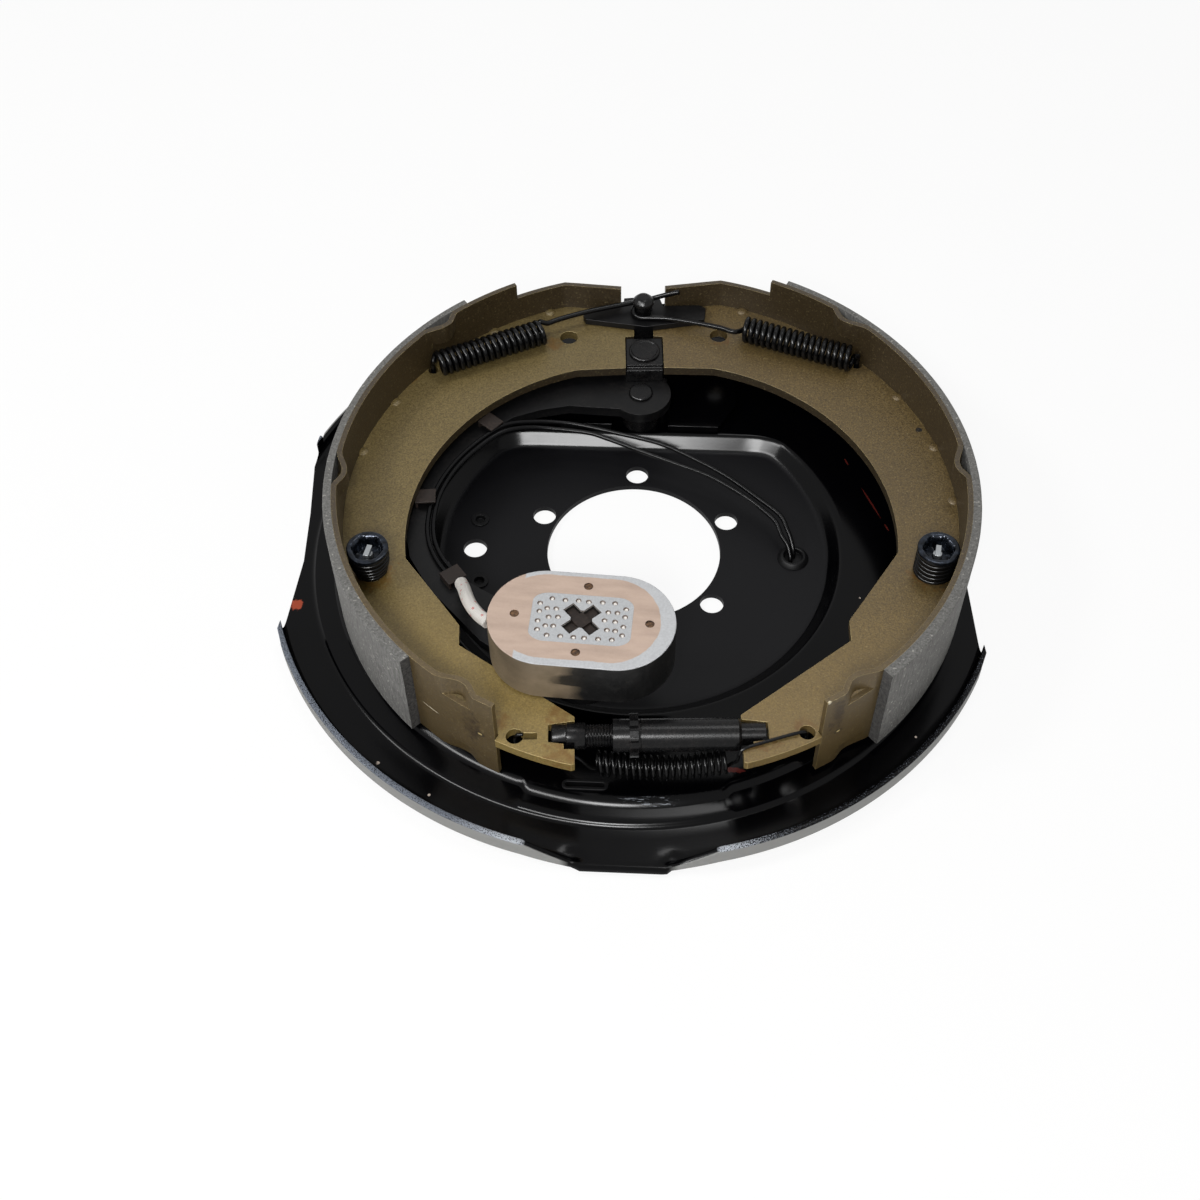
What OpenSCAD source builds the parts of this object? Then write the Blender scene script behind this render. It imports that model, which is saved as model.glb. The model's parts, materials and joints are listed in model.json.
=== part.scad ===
// Electric drum brake for a trailer axle, seen from the drum side.
// Origin: centre of the hub hole on the back mounting face. +Z points at the drum, +Y at the anchor pin.
// All lengths are in millimetres.

/* [Backing plate] */
// Gap between the linings' face and the upturned outer flange
flange_gap = 20.6; // [18:0.1:26]
// Thickness of the pressed sheet
sheet_t = 2.8; // [2:0.1:3.2]
// Height of the flange's top edge over the mounting face
flange_h = 13.1; // [11:0.1:18]
// Height of the raised ring that carries the shoes
ring_h = 9.4; // [8:0.1:11]
// Distance from the linings' face in to the edge where the raised ring starts to fall away
ring_inset = 7.1; // [6:0.1:9]
// Width of the ring's outer slope
ring_slope_w = 12.5; // [11:0.1:16]
// Diameter of the flat mounting dish
dish_d = 186; // [180:1:188]
// Distance from the lever's stud in to the dish's straight side
dish_flat_drop = 15.5; // [14:0.1:17]
// Diameter of the hub hole
hub_hole_d = 83.8; // [78:0.1:85]
// Diameter of the circle that the mounting holes lie on
bolt_circle_d = 98.4; // [97:0.1:104]
// Diameter of a mounting hole
bolt_hole_d = 11.2; // [9:0.1:12]
// Depth of the two flattened flanks, measured in from the flange
flank_inset = 14; // [9:0.1:16]
// Diameter of the two lead holes
lead_hole_d = 11.4; // [9:0.1:13]

/* [Anchor] */
// Distance from the linings' face in to the anchor pin
anchor_inset = 23.6; // [22:0.1:25]
// Diameter of the anchor pin's body
anchor_d = 16; // [14:0.1:17]
// Diameter of the anchor pin's neck
neck_d = 7.6; // [6:0.1:8]
// Diameter of the anchor pin's domed head
anchor_head_d = 11; // [10:0.1:13]
// Height of the anchor pin's top over the guide plate
anchor_rise = 10.8; // [10.4:0.1:13]
// Thickness of the anchor reinforcement
brace_t = 5; // [3:0.1:6]
// Thickness of the shoe guide plate
guide_t = 3.4; // [2:0.1:3.6]

/* [Shoes] */
// Radius of the linings' outer face
lining_r = 150.6; // [150:0.1:151.2]
// Width of linings and shoe tables
lining_w = 50.8; // [50:0.1:52]
// Thickness of the linings
lining_t = 5.1; // [4:0.1:6]
// Thickness of the shoe tables
table_t = 2.4; // [1.8:0.1:2.8]
// Thickness of the shoe webs
web_t = 4.8; // [4:0.1:5]
// Lean of the two shoes about the anchor pin
shoe_lean = 3.3; // [3:0.1:3.6]

/* [Lever and magnet] */
// Distance from the anchor pin to the lever's stud
stud_drop = 45.5; // [44.6:0.1:46.5]
// Diameter of the lever's stud
stud_d = 12; // [10:0.1:13]
// Thickness of the lever
lever_t = 5.5; // [4:0.1:7]
// Gap between the lever's top face and the shoe webs
lever_gap = 4.2; // [3.9:0.1:5.5]
// Width of the block between the two webs
block_w = 18.4; // [16:0.1:18.6]
// Length of the magnet
magnet_l = 80.5; // [76:0.5:82]
// Width of the magnet
magnet_w = 50; // [48:0.5:51]
// Height of the magnet
magnet_h = 24; // [21:0.5:24.5]
// Height of the magnet's friction face over the shoes' edges
magnet_proud = 2.1; // [2:0.1:3.5]
// Diameter of the pin that holds the magnet
magnet_pin_d = 9; // [7:0.1:10]

/* [Return springs] */
// Outer diameter of the return springs
return_d = 13; // [11:0.1:13.4]
// Wire diameter of the return springs
return_wire = 2.2; // [1.6:0.1:2.3]
// Turns of a return spring
return_turns = 18; // [14:1:20]

/* [Adjuster] */
// Outer diameter of the adjuster's socket and sleeve
socket_d = 14.2; // [14:0.1:15]
// Diameter of the adjusting screw's thread
thread_d = 10; // [9:0.1:10.2]
// Diameter over the star wheel's teeth
star_d = 19; // [18.4:0.1:20]
// Number of teeth on the star wheel
star_teeth = 12; // [10:1:16]
// Outer diameter of the adjuster spring
adjuster_spring_d = 11.4; // [10:0.1:11.8]
// Wire diameter of the adjuster spring
adjuster_wire = 1.5; // [1:0.1:1.6]
// Turns of the adjuster spring
adjuster_turns = 20; // [16:1:22]

/* [Hold-downs] */
// Diameter of a hold-down pin
pin_d = 4; // [3:0.1:4.4]
// Outer diameter of a hold-down cup
cup_d = 18.8; // [17:0.1:19]
// Height of the cups' rims over the shoe webs
cup_rise = 17.9; // [16.5:0.1:19]
// Wire diameter of a hold-down spring
hold_wire = 2; // [1.5:0.1:2.1]

/* [Leads] */
// Diameter of one magnet lead
lead_d = 2.2; // [1.8:0.1:2.4]
// Diameter of the woven sleeve over both leads
sleeve_d = 6; // [5:0.1:6.4]

/* [Hidden] */

// Fineness of true circles
$fn = 96;
// Gap between pieces that stand next to each other on different bodies
gap = 0.3;
// Radial clearance of a turning fit
turn_fit = 0.06;
// Small overshoot of a cutting shape
bite = 1;

// Guide plate round the anchor pin
guide_outline = [[-31, -1.5], [-26, 4.4], [-10.4, 5.2], [-9.6, 11.4], [8.4, 13], [10.4, 5.2], [29, 5.4],
    [32.4, 3.2], [31.3, -5.5], [1, -10.4], [-29.6, -4.4]];

// Heights
ring_under = ring_h - sheet_t;
floor_z = 1.6;
floor_top = floor_z + sheet_t;
shoe_low = ring_h + gap;
shoe_top = shoe_low + lining_w;
web_z = (shoe_low + shoe_top) / 2;
web_top = web_z + web_t / 2;
web_low = web_z - web_t / 2;
brace_top = ring_h + brace_t;
lever_top = web_low - lever_gap;
lever_low = lever_top - lever_t;
guide_low = web_top + gap;
guide_top = guide_low + guide_t;
anchor_top = guide_top + anchor_rise;
magnet_top = shoe_top + magnet_proud;
magnet_low = magnet_top - magnet_h;
cup_top = web_top + cup_rise;

// A point given by its inset from the linings' face and its angle round the hub, with what follows kept
function from_lining(p) = let (r = lining_r - p[0], x = r * cos(p[1]), y = r * sin(p[1]))
    len(p) > 2 ? [x, y, p[2]] : [x, y];
function all_from_lining(points) = [for (p = points) from_lining(p)];

// Places on the centre line
anchor_y = lining_r - anchor_inset;
stud_y = anchor_y - stud_drop;
adjuster_y = -(lining_r - 23.3);
block_rivet_y = anchor_y - 24.8;

// Backing plate
plate_r = lining_r + flange_gap + sheet_t;
plate_d = 2 * plate_r;
ring_r = lining_r - ring_inset;
foot_r = ring_r + ring_slope_w;
dish_flat_y = stud_y - dish_flat_drop;
dish_r = dish_d / 2;
dish_rise = ring_h - sheet_t;
bolt_angles = [90, 24.5, 155.5, -39.3, 219.3];
lead_hole_x = 77;
lead_hole_y = -2;
plug_hole_d = 6.8;
plug_points = [[-76.3, 16.1], [-73.1, -22.6]];
hold_left = from_lining([24.4, 201.768]);
hold_right = from_lining([9.86, 345.095]);
hold_hole_d = 7;
slot_centre = [-16, -(ring_r - 6.3)];
slot_size = [20, 5];
flange_top_arc_h = 8.6;
lip_x = [-20, 23];
lip_cut_x = [-42, 43];
lip_y = -plate_r - 0.6;
lip_root_y = -plate_r + 24;
flank_x = plate_r - flank_inset;
flank_points = [[-flank_x, 73], [-flank_x - 3.4, 46], [-flank_x - 0.5, 15], [-flank_x + 1.2, -15],
    [-flank_x - 1.5, -58], [-flank_x - 2, -62], [-flank_x + 1, -70.3], [-flank_x - 40, -88],
    [-flank_x - 40, 73]];
top_flat_y = plate_r - 3;

// Shoes, in their own upright frame before they lean
table_r = lining_r - lining_t;
web_r = table_r - table_t;
arc_y = -1;
table_end_a = 28;
table_step_a = 26.7;
table_neck_w = 33.8;
web_face_x = 9.65;
web_tip_x = 5;
web_step_y = anchor_y - 13.4;
web_hole = from_lining([31.1, 71.307]);
web_hole_d = 9.2;
spring_hole = from_lining([10.71, 40.419]);
spring_hole_d = 5.4;
notch_x = 46.2;
notch_h = 8.6;
mouth_x = 39.6;
mouth_h = 15;
web_end_x = 35.1;
web_end_y = -(lining_r - 8.1);
tail_r = lining_r - 4;
inner_arc = [4.5, -15.5, lining_r - 41.6];
keyhole = [60.2, adjuster_y - 1.3];
hook_hole = [62.3, adjuster_y - 1.1];
nib_r = 6;
nib_h = 10;
nib_out = 3.4;
nib_angles = [134.5, 178.8, 234.9];
lining_angles = [[127.5, 224.6], [-50.3, 60.4]];
lining_lean = [1.4, -1.2];
hold_shoe_hole_d = 11;

// Lever, seen from the drum side
stud = [0.4, stud_y];
lever_outer = all_from_lining([[57.12, 81.697], [56.43, 93.409], [52.39, 109.634], [52.16, 118.518],
    [52.19, 127.569], [51.24, 139.899], [48.63, 153.184], [46.31, 165.564], [44.3, 175.684],
    [42.69, 187.454], [43.32, 196.239], [46.83, 207.553], [49.94, 229.028]]);
lever_inner = all_from_lining([[73.42, 238.782], [71.2, 220.914], [62.22, 207.493], [58.14, 199.787],
    [54.73, 193.021], [54.6, 187.421], [55.7, 180], [55.1, 171.692], [55.94, 165.626], [57.9, 156.477],
    [60.73, 145.426], [62.56, 135.23], [66.95, 125.856], [71.17, 116.307], [79.88, 98.21],
    [81.74, 87.586]]);
lever_foot = all_from_lining([[49.94, 229.028], [45.43, 253.426], [76.42, 262.252], [73.42, 238.782]]);
block_y = [anchor_y - 34.7, anchor_y - 15];
block_ledge = 2.3;
block_h = web_top - lever_top;
block_rivet_d = 10;
magnet_at = from_lining([60.49, 257.568]);
magnet_turn = -3;
core_t = 4;
clip_spots = all_from_lining([[60.06, 142.991, -130], [51.87, 177.097, -85], [59.9, 207.3, -52]]);
clip_h = min(3.9, lever_gap - gap);

// Return springs
return_z = web_top + gap + return_d / 2;
return_in = from_lining([28.9, 65.225]);
return_out = from_lining([17.07, 42.147]);
left_arm_z = guide_top + 3.6;
right_arm_z = guide_top + 1.3;

// Adjuster, along X in the shoes' frame
screw_end_x = -notch_x + gap + 1;
screw_collar_x = -mouth_x + 1;
screw_thread_x = -30.5;
sleeve_x = -19;
star_x = -12;
star_w = 3.6;
socket_x = -7.2;
socket_neck_x = web_end_x - 0.4;
socket_end_x = notch_x - gap - 1;
fork_d = 10.2;
fork_slot = web_t + 2 * gap;

// Leads: from the grommet along the lever to the sleeve
lead_hole = [lead_hole_x, lead_hole_y];
on_lever = lever_top + 1.3;
lead_a = [[77.2, -1, 0.6], [77.2, -0.7, 3], [77, 0.4, 5.8], [75.8, 4.2, 9], [73.8, 8.6, 11.8],
    [70.2, 15.9, 13.8], [60.6, 24.6, 14.8], [43.8, 38.6, 16], [27.1, 48.5, 17.4], [10.5, 56.2, 19],
    [-11.7, 60.7, 21], [-26.5, 63, 22.6], [-37.6, 63.6, 24], [-49.3, 62.2, 25.8], [-59.6, 58.9, 28.2],
    [-67, 54.8, on_lever], [-73, 49.5, on_lever], [-80, 41.5, on_lever], [-86, 33, on_lever],
    [-91, 23.5, on_lever], [-94.5, 14, on_lever], [-96.4, 5, on_lever], [-97, -5, on_lever],
    [-96.6, -14, on_lever], [-94.5, -23, on_lever], [-90.5, -31.5, on_lever], [-85.5, -38.5, on_lever],
    [-79.2, -46.2, on_lever + 0.4]];
lead_b = [[75.8, -3.4, 0.6], [75.8, -3, 3], [75.3, -0.9, 5.2], [73.9, 2.4, 8], [71.1, 6.3, 10.1],
    [68.2, 12.9, 12.2], [62.2, 19.3, 13.2], [53.3, 26.9, 14.2], [36.5, 37.9, 15.6], [18.2, 45, 17],
    [-0.3, 51, 19.4], [-15.1, 55.4, 22], [-26.1, 57.4, 24], [-46.4, 57.6, 26], [-56.4, 55.6, 28],
    [-64.6, 51.7, on_lever], [-71.1, 47.1, on_lever], [-77.9, 39.4, on_lever], [-83.7, 31.3, on_lever],
    [-88.4, 22.5, on_lever], [-91.7, 13.3, on_lever], [-93.6, 4.8, on_lever], [-94.2, -5, on_lever],
    [-93.8, -13.4, on_lever], [-91.9, -21.8, on_lever], [-88.1, -29.8, on_lever], [-83.3, -36.4, on_lever],
    [-77.2, -44, on_lever + 0.4]];
sleeve_path = [[-76.9, -47.4, 32.6], [-75.8, -50.2, 34.2], [-74.6, -54, 36.8], [-73.4, -58.2, 39.8],
    [-72, -63, 43], [-70.3, -67.9, 45.6], [-67.8, -72.8, 47.3], [-64.4, -77.4, 48.2], [-60.4, -81, 48.6]];

// Direction of a vector
function unit(v) = v / norm(v);
// Direction of travel at each point of a path
function headings(p) = [for (i = [0:len(p) - 1]) unit(p[min(i + 1, len(p) - 1)] - p[max(i - 1, 0)])];
// A side direction carried along a path without twisting
function square_to(n, t) = unit(n - (n * t) * t);
function sides_along(t, n0) = [for (i = 0, n = square_to(n0, t[0]); i < len(t); i = i + 1,
    n = square_to(n, t[min(i, len(t) - 1)])) n];
// Points of a helix from a to b
function helix(a, b, r, turns, per, start, up) =
    let (u = unit(b - a), v = square_to(up, u), w = cross(u, v))
    [for (i = [0:turns * per]) let (q = start + 360 * i / per)
        a + (b - a) * i / (turns * per) + r * (cos(q) * v + sin(q) * w)];
// Points of a level arc
function arc_points(c, r, a0, a1, n) = [for (i = [0:n]) let (a = a0 + (a1 - a0) * i / n)
    [c[0] + r * cos(a), c[1] + r * sin(a)]];
function lifted(p, z) = [for (q = p) [q[0], q[1], z]];

// A wire or lead swept along a path
module wire(path, d, sides = 6) {
    t = headings(path);
    n = sides_along(t, [0.3, 0.2, 1]);
    last = (len(path) - 1) * sides;
    points = [for (i = [0:len(path) - 1]) for (k = [0:sides - 1]) let (a = 360 * k / sides)
        path[i] + d / 2 * (cos(a) * n[i] + sin(a) * cross(t[i], n[i]))];
    skin = [for (i = [0:len(path) - 2]) for (k = [0:sides - 1]) let (j = (k + 1) % sides)
        [i * sides + k, (i + 1) * sides + k, (i + 1) * sides + j, i * sides + j]];
    ends = [[for (k = [0:sides - 1]) k], [for (k = [sides - 1:-1:0]) last + k]];
    polyhedron(points, concat(skin, ends), convexity = 8);
}

// The two shoes lean together about the anchor pin
module on_shoes() {
    translate([0, anchor_y, 0]) rotate(shoe_lean) translate([0, -anchor_y, 0]) children();
}

module at(p, z = 0) {
    translate([p[0], p[1], z]) children();
}

module slab(z, t) {
    translate([0, 0, z]) linear_extrude(t) children();
}

// Dish with a sloping wall and one straight side, grown by some amount
module dish(low, high, grow) {
    low_out = grow + low - sheet_t;
    high_out = grow + high - sheet_t;
    intersection() {
        translate([0, 0, low]) cylinder(h = high - low, r1 = dish_r + low_out, r2 = dish_r + high_out);
        rotate([90, 0, 90]) translate([0, 0, -plate_r]) linear_extrude(plate_d)
            polygon([[-plate_r, low], [dish_flat_y + low_out, low], [dish_flat_y + high_out, high],
                [-plate_r, high]]);
    }
}

// Cross-section of the ring, floor and flange to the right of the hub
module plate_section() {
    wall = plate_r - sheet_t;
    polygon([[dish_r - 40, ring_under], [ring_r - 1.5, ring_under], [foot_r - sheet_t, floor_z],
        [plate_r - 3, floor_z], [plate_r - 0.8, floor_z + 0.9], [plate_r, floor_z + 3.2], [plate_r, flange_h],
        [wall, flange_h], [wall, floor_top + 1.6], [wall - 1.4, floor_top], [foot_r, floor_top],
        [ring_r + 4, ring_h - 2.2], [ring_r + 1.6, ring_h - 0.5], [ring_r - 0.8, ring_h],
        [dish_r - 40, ring_h]]);
}

module plate_outline() {
    difference() {
        union() {
            circle(r = plate_r + bite);
            polygon([[lip_x[0] + 3, lip_y], [lip_x[1] - 3, lip_y], [lip_x[1] + 12, lip_root_y],
                [lip_x[0] - 12, lip_root_y]]);
        }
        for (m = [0, 1]) mirror([m, 0]) polygon(flank_points);
        translate([-plate_r, top_flat_y]) square([plate_d, 40]);
    }
}

module backing_plate() {
    color("#1b1b1d") difference() {
        union() {
            intersection() {
                union() {
                    rotate_extrude($fn = 180) plate_section();
                    // Straight lip at the bottom, where the flange stops
                    slab(floor_z, sheet_t) polygon([[lip_x[0] + 3, lip_y], [lip_x[1] - 3, lip_y],
                        [lip_x[1] + 6, lip_root_y], [lip_x[0] - 6, lip_root_y]]);
                }
                slab(-bite, flange_h + 2 * bite) plate_outline();
            }
            dish(0, ring_h, sheet_t);
        }
        // Inside of the dish
        dish(sheet_t, ring_h + bite, 0);
        // The flange falls away to the bottom lip
        translate([0, 14 - plate_r, 0]) rotate([90, 0, 0]) linear_extrude(30)
            polygon([[lip_cut_x[0], flange_h + bite], [lip_cut_x[0], flange_h], [lip_x[0], floor_top],
                [lip_x[1], floor_top], [lip_cut_x[1], flange_h], [lip_cut_x[1], flange_h + bite]]);
        // The flange over the top is lower
        translate([-plate_r, 60, flange_top_arc_h]) cube([plate_d, plate_r, flange_h]);
        at([0, 0], -bite) cylinder(h = flange_h, d = hub_hole_d);
        for (a = bolt_angles) rotate(a) at([bolt_circle_d / 2, 0], -bite)
            cylinder(h = flange_h, d = bolt_hole_d);
        for (s = [-1, 1]) at([s * lead_hole_x, lead_hole_y], -bite) cylinder(h = flange_h, d = lead_hole_d);
        for (p = plug_points) at(p, -bite) cylinder(h = flange_h, d = plug_hole_d);
        for (p = [hold_left, hold_right]) at(p, -bite) cylinder(h = flange_h + bite, d = hold_hole_d);
        at(slot_centre, 0) slot_shape(0, ring_h + bite);
        at([0, anchor_y], 0) cylinder(h = flange_h, d = anchor_d);
        at(stud, 0) cylinder(h = flange_h, d = stud_d);
    }
}

module slot_shape(grow, h) {
    r = slot_size[1] / 2;
    for (s = [-1, 1]) translate([s * (slot_size[0] / 2 - r), 0, 0]) cylinder(h = h, r = r + grow);
    translate([r - slot_size[0] / 2, -r - grow, 0]) cube([slot_size[0] - 2 * r, 2 * (r + grow), h]);
}

// Rubber plug in the adjusting slot
module slot_plug() {
    color("#141414") at(slot_centre, ring_under - 1.2) difference() {
        union() {
            slot_shape(0, sheet_t + 2);
            slot_shape(0.8, 1.2);
        }
        translate([0, 0, 1.2]) slot_shape(-1.4, sheet_t + 2);
    }
}

// Plugs in the two unused holes of the dish
module hole_plugs() {
    color("#141414") for (p = plug_points) at(p, 0) difference() {
        union() {
            cylinder(h = sheet_t, d = plug_hole_d);
            translate([0, 0, sheet_t]) cylinder(h = 0.9, d = plug_hole_d + 2);
        }
        translate([0, 0, 1]) cylinder(h = sheet_t + 2, d = plug_hole_d - 2);
    }
}

// Soft ring round the two leads where they pass through the dish
module lead_grommet() {
    color("#151515") at(lead_hole, 0) difference() {
        union() {
            translate([0, 0, 0.2]) cylinder(h = sheet_t, d = lead_hole_d);
            translate([0, 0, sheet_t]) cylinder(h = 2.4, d1 = lead_hole_d + 3.6, d2 = lead_hole_d + 0.8);
        }
        translate([0, 0, -bite]) cylinder(h = 12, d = 7.4);
    }
}

// Flat pressing that stiffens the plate under the anchor pin and the lever's stud
module anchor_reinforcement() {
    low_y = dish_flat_y + dish_rise + gap;
    color("#1b1b1d") difference() {
        slab(ring_h, brace_t) polygon([[-40, low_y], [-14, low_y], [-14, stud_y + 13], [14.5, stud_y + 13],
            [14.5, low_y], [40, low_y], [49, stud_y + 7], [49, anchor_y - 15], [30, anchor_y + 11],
            [-30, anchor_y + 11], [-49, anchor_y - 15], [-49, stud_y + 7]]);
        at([0, anchor_y], 0) cylinder(h = brace_top + bite, d = anchor_d);
    }
}

// Turned anchor pin, riveted at the back and with a neck for the springs' hooks
module anchor_pin() {
    r = anchor_d / 2;
    head_low = anchor_top - 4.6;
    color("#2a2a2c") at([0, anchor_y], 0) rotate_extrude()
        polygon([[0, ring_under - 3], [r + 1.5, ring_under - 3], [r + 2.6, ring_under - 1.6],
            [r + 2.6, ring_under], [r, ring_under], [r, guide_low - 3.4], [r - 1.2, guide_low - gap],
            [neck_d / 2, guide_low - gap], [neck_d / 2, head_low], [anchor_head_d / 2 - 0.6, head_low],
            [anchor_head_d / 2, head_low + 1], [anchor_head_d / 2 - 0.3, head_low + 2.4],
            [anchor_head_d / 2 - 1.9, anchor_top - 0.5], [2.4, anchor_top], [0, anchor_top]]);
}

// Butterfly plate that keeps the shoes' ends down on the anchor pin
module shoe_guide_plate() {
    color("#242426") difference() {
        on_shoes() at([0, anchor_y], guide_low) linear_extrude(guide_t) polygon(guide_outline);
        at([0, anchor_y], guide_low - bite) cylinder(h = guide_t + 2 * bite, d = neck_d);
    }
}

// Shouldered stud that the lever turns on
module lever_stud() {
    r = stud_d / 2;
    color("#262628") at(stud, 0) rotate_extrude()
        polygon([[0, ring_under - 1.6], [r + 1.6, ring_under - 1.6], [r + 1.6, ring_under], [r, ring_under],
            [r, ring_h], [r + 3, ring_h], [r + 3, lever_low - 0.1], [r, lever_low - 0.1],
            [r, lever_top + 0.9], [r - 0.8, lever_top + 1.6], [0, lever_top + 1.6]]);
}

module lever_arm() {
    color("#222224") difference() {
        union() {
            slab(lever_low, lever_t) polygon(concat(lever_outer, lever_inner));
            // Round eye at the stud and round pad under the magnet
            at(stud, lever_low) cylinder(h = lever_t, r = 15.2);
            at(magnet_at, lever_low) cylinder(h = lever_t, r = 17);
            slab(lever_low, lever_t) polygon(lever_foot);
        }
        at(stud, lever_low - bite) cylinder(h = lever_t + 2 * bite, r = stud_d / 2 + turn_fit);
        at(magnet_at, lever_low - bite) cylinder(h = lever_t + 2 * bite, d = magnet_pin_d);
        on_shoes() at([0, block_rivet_y], lever_low - bite)
            cylinder(h = lever_t + 2 * bite, d = block_rivet_d);
    }
}

// Block that stands on the lever between the shoes' ends and spreads them
module actuating_block() {
    color("#2a2a2c") on_shoes() difference() {
        union() {
            at([-block_w / 2, block_y[0]], lever_top) cube([block_w, block_y[1] - block_y[0], block_h]);
            at([-block_w / 2, block_y[0] - block_ledge], lever_top)
                cube([block_w, block_ledge, block_h - 1.6]);
        }
        at([0, block_rivet_y], lever_top - bite) cylinder(h = block_h + 2 * bite, d = block_rivet_d);
    }
}

// Rivet through block and lever, with a peened head
module block_rivet() {
    r = block_rivet_d / 2;
    color("#303032") on_shoes() at([0, block_rivet_y], 0) rotate_extrude()
        polygon([[0, lever_low - 1.4], [r + 2, lever_low - 1.4], [r + 2.4, lever_low], [r, lever_low],
            [r, web_top], [r + 2.8, web_top], [r + 2.8, web_top + 0.9], [r + 2, web_top + 1.5],
            [r + 1.1, web_top + 0.8], [0, web_top + 0.8]]);
}

// Bent tabs on the lever that hold the leads down
module lead_clips() {
    color("#3a3432") for (c = clip_spots) at(c, lever_top) rotate(c[2]) difference() {
        translate([-4.2, -5.6, 0]) cube([8.4, 9.6, clip_h]);
        translate([-4.2 - bite, -4.4, -bite]) cube([8.4 + 2 * bite, 10, clip_h - 1 + bite]);
    }
}

module magnet_outline(grow = 0) {
    r = magnet_w / 2 + grow;
    run = (magnet_l - magnet_w) / 2;
    for (s = [-1, 1]) translate([s * run, 0]) circle(r = r);
    square([2 * run, 2 * r], center = true);
}

module on_magnet() {
    at(magnet_at, 0) rotate(magnet_turn) children();
}

module core_outline(grow = 0) {
    half = [21.6 + grow, 12.8 + grow];
    polygon([[-half[0] + 5, -half[1]], [half[0] - 5, -half[1]], [half[0], -half[1] + 5],
        [half[0], half[1] - 5], [half[0] - 5, half[1]], [-half[0] + 5, half[1]], [-half[0], half[1] - 5],
        [-half[0], -half[1] + 5]]);
}

// Shell of the magnet with its potted coil and friction face
module magnet_case() {
    color("#b69a86") difference() {
        on_magnet() slab(magnet_low, magnet_h) magnet_outline();
        on_magnet() slab(magnet_top - core_t, core_t + bite) core_outline();
        on_magnet() at([0, 0], magnet_low - bite) cylinder(h = magnet_h + 2, r = magnet_pin_d / 2 + turn_fit);
        on_magnet() for (p = magnet_rivet_points()) at(p, magnet_top - 3) cylinder(h = 4, d = 4);
        // Passage for the sleeve
        on_magnet() at([1.5 - magnet_l / 2, 5.2], magnet_low + 10) rotate([0, -90, 0])
            cylinder(h = 12, d = sleeve_d + 0.4);
    }
}

function magnet_rivet_points() = [[1.2, 17.8], [-28.6, 0.4], [29, 0.2], [-0.6, -17.4]];

// Dimpled core plate sunk in the friction face
module magnet_core_plate() {
    color("#9c9c9c") on_magnet() difference() {
        slab(magnet_top - core_t, core_t) core_outline(-0.01);
        slab(magnet_top - core_t - bite, core_t + 2 * bite) clip_cross(0.6);
        for (x = [-4:4]) for (y = [-1.5:1:1.5]) if (abs(x) > 1 || abs(y) > 1 && abs(x) > 0)
            translate([x * 4.6, y * 5.4, magnet_top - 0.7]) cylinder(h = 2, d = 2.2, $fn = 24);
    }
}

module clip_cross(grow) {
    square([8.6 + grow, 8.6 + grow], center = true);
    for (a = [45, 135]) rotate(a) square([17 + grow, 5 + grow], center = true);
}

// Spring clip on the end of the magnet's pin
module magnet_clip() {
    color("#18181a") difference() {
        on_magnet() slab(magnet_top - core_t + gap, 1.5) clip_cross(0);
        at(magnet_at, magnet_top - core_t) cylinder(h = 4, d = magnet_pin_d - 3);
    }
}

// Brass rivets of the friction face
module magnet_rivets() {
    color("#4a3a30") on_magnet() for (p = magnet_rivet_points()) at(p, magnet_top - 3)
        cylinder(h = 2.4, d = 4);
}

// Pin on the lever that carries the magnet
module magnet_pin() {
    r = magnet_pin_d / 2;
    color("#333336") at(magnet_at, 0) rotate_extrude()
        polygon([[0, lever_low - 1.5], [7, lever_low - 1.5], [7, lever_low], [r, lever_low],
            [r, magnet_top - core_t + gap], [r - 1.5, magnet_top - core_t + gap],
            [r - 1.5, magnet_top - 1.6], [0, magnet_top - 1.6]]);
}

// Coil spring between lever and magnet
module magnet_spring() {
    low = lever_top + 1.1;
    high = magnet_low - 1.1;
    color("#55555a") at(magnet_at, 0) wire(helix([0, 0, low], [0, 0, high], 9, 3, 18, 0, [1, 0, 0]), 1.6);
}

// Outline of the left shoe's web
module web_outline() {
    a = inner_arc;
    toe = all_from_lining([[39.59, 219.224], [32.68, 223.385]]);
    mouth = [adjuster_y + mouth_h / 2 - 1.6, adjuster_y - mouth_h / 2 - 0.4];
    inner = arc_points([-a[0], a[1]], a[2], 106, 188.5, 24);
    tail = arc_points([0, arc_y], tail_r, 255.6, 270.2 - table_end_a, 6);
    outer = arc_points([0, arc_y], web_r, 270.2 - table_end_a, 90 + table_step_a - 10.6, 48);
    difference() {
        polygon(concat([[-web_face_x, block_y[0] - 1.9]], inner, toe, [[-web_end_x, adjuster_y + 8.1],
            [-web_end_x, mouth[0]], [-mouth_x, mouth[0] - 0.6], [-notch_x, adjuster_y + notch_h / 2],
            [-notch_x, adjuster_y - notch_h / 2], [-mouth_x, adjuster_y - notch_h / 2 - 1],
            [-mouth_x, mouth[1]], [-web_end_x, mouth[1]], [-web_end_x, web_end_y]], tail, outer,
            [[-web_tip_x, anchor_y + 5], [-web_tip_x, web_step_y], [-web_face_x, web_step_y - 0.6]]));
        translate([0, anchor_y]) circle(d = anchor_d + 2 * gap);
        translate([-web_hole[0], web_hole[1]]) circle(d = web_hole_d);
        translate([-spring_hole[0], spring_hole[1]]) circle(d = spring_hole_d);
    }
}

// Place of a hold-down seen from the leaning shoes
function on_lean(p) = let (d = p - [0, anchor_y]) [d[0] * cos(shoe_lean) + d[1] * sin(shoe_lean),
    anchor_y - d[0] * sin(shoe_lean) + d[1] * cos(shoe_lean)];

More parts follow.
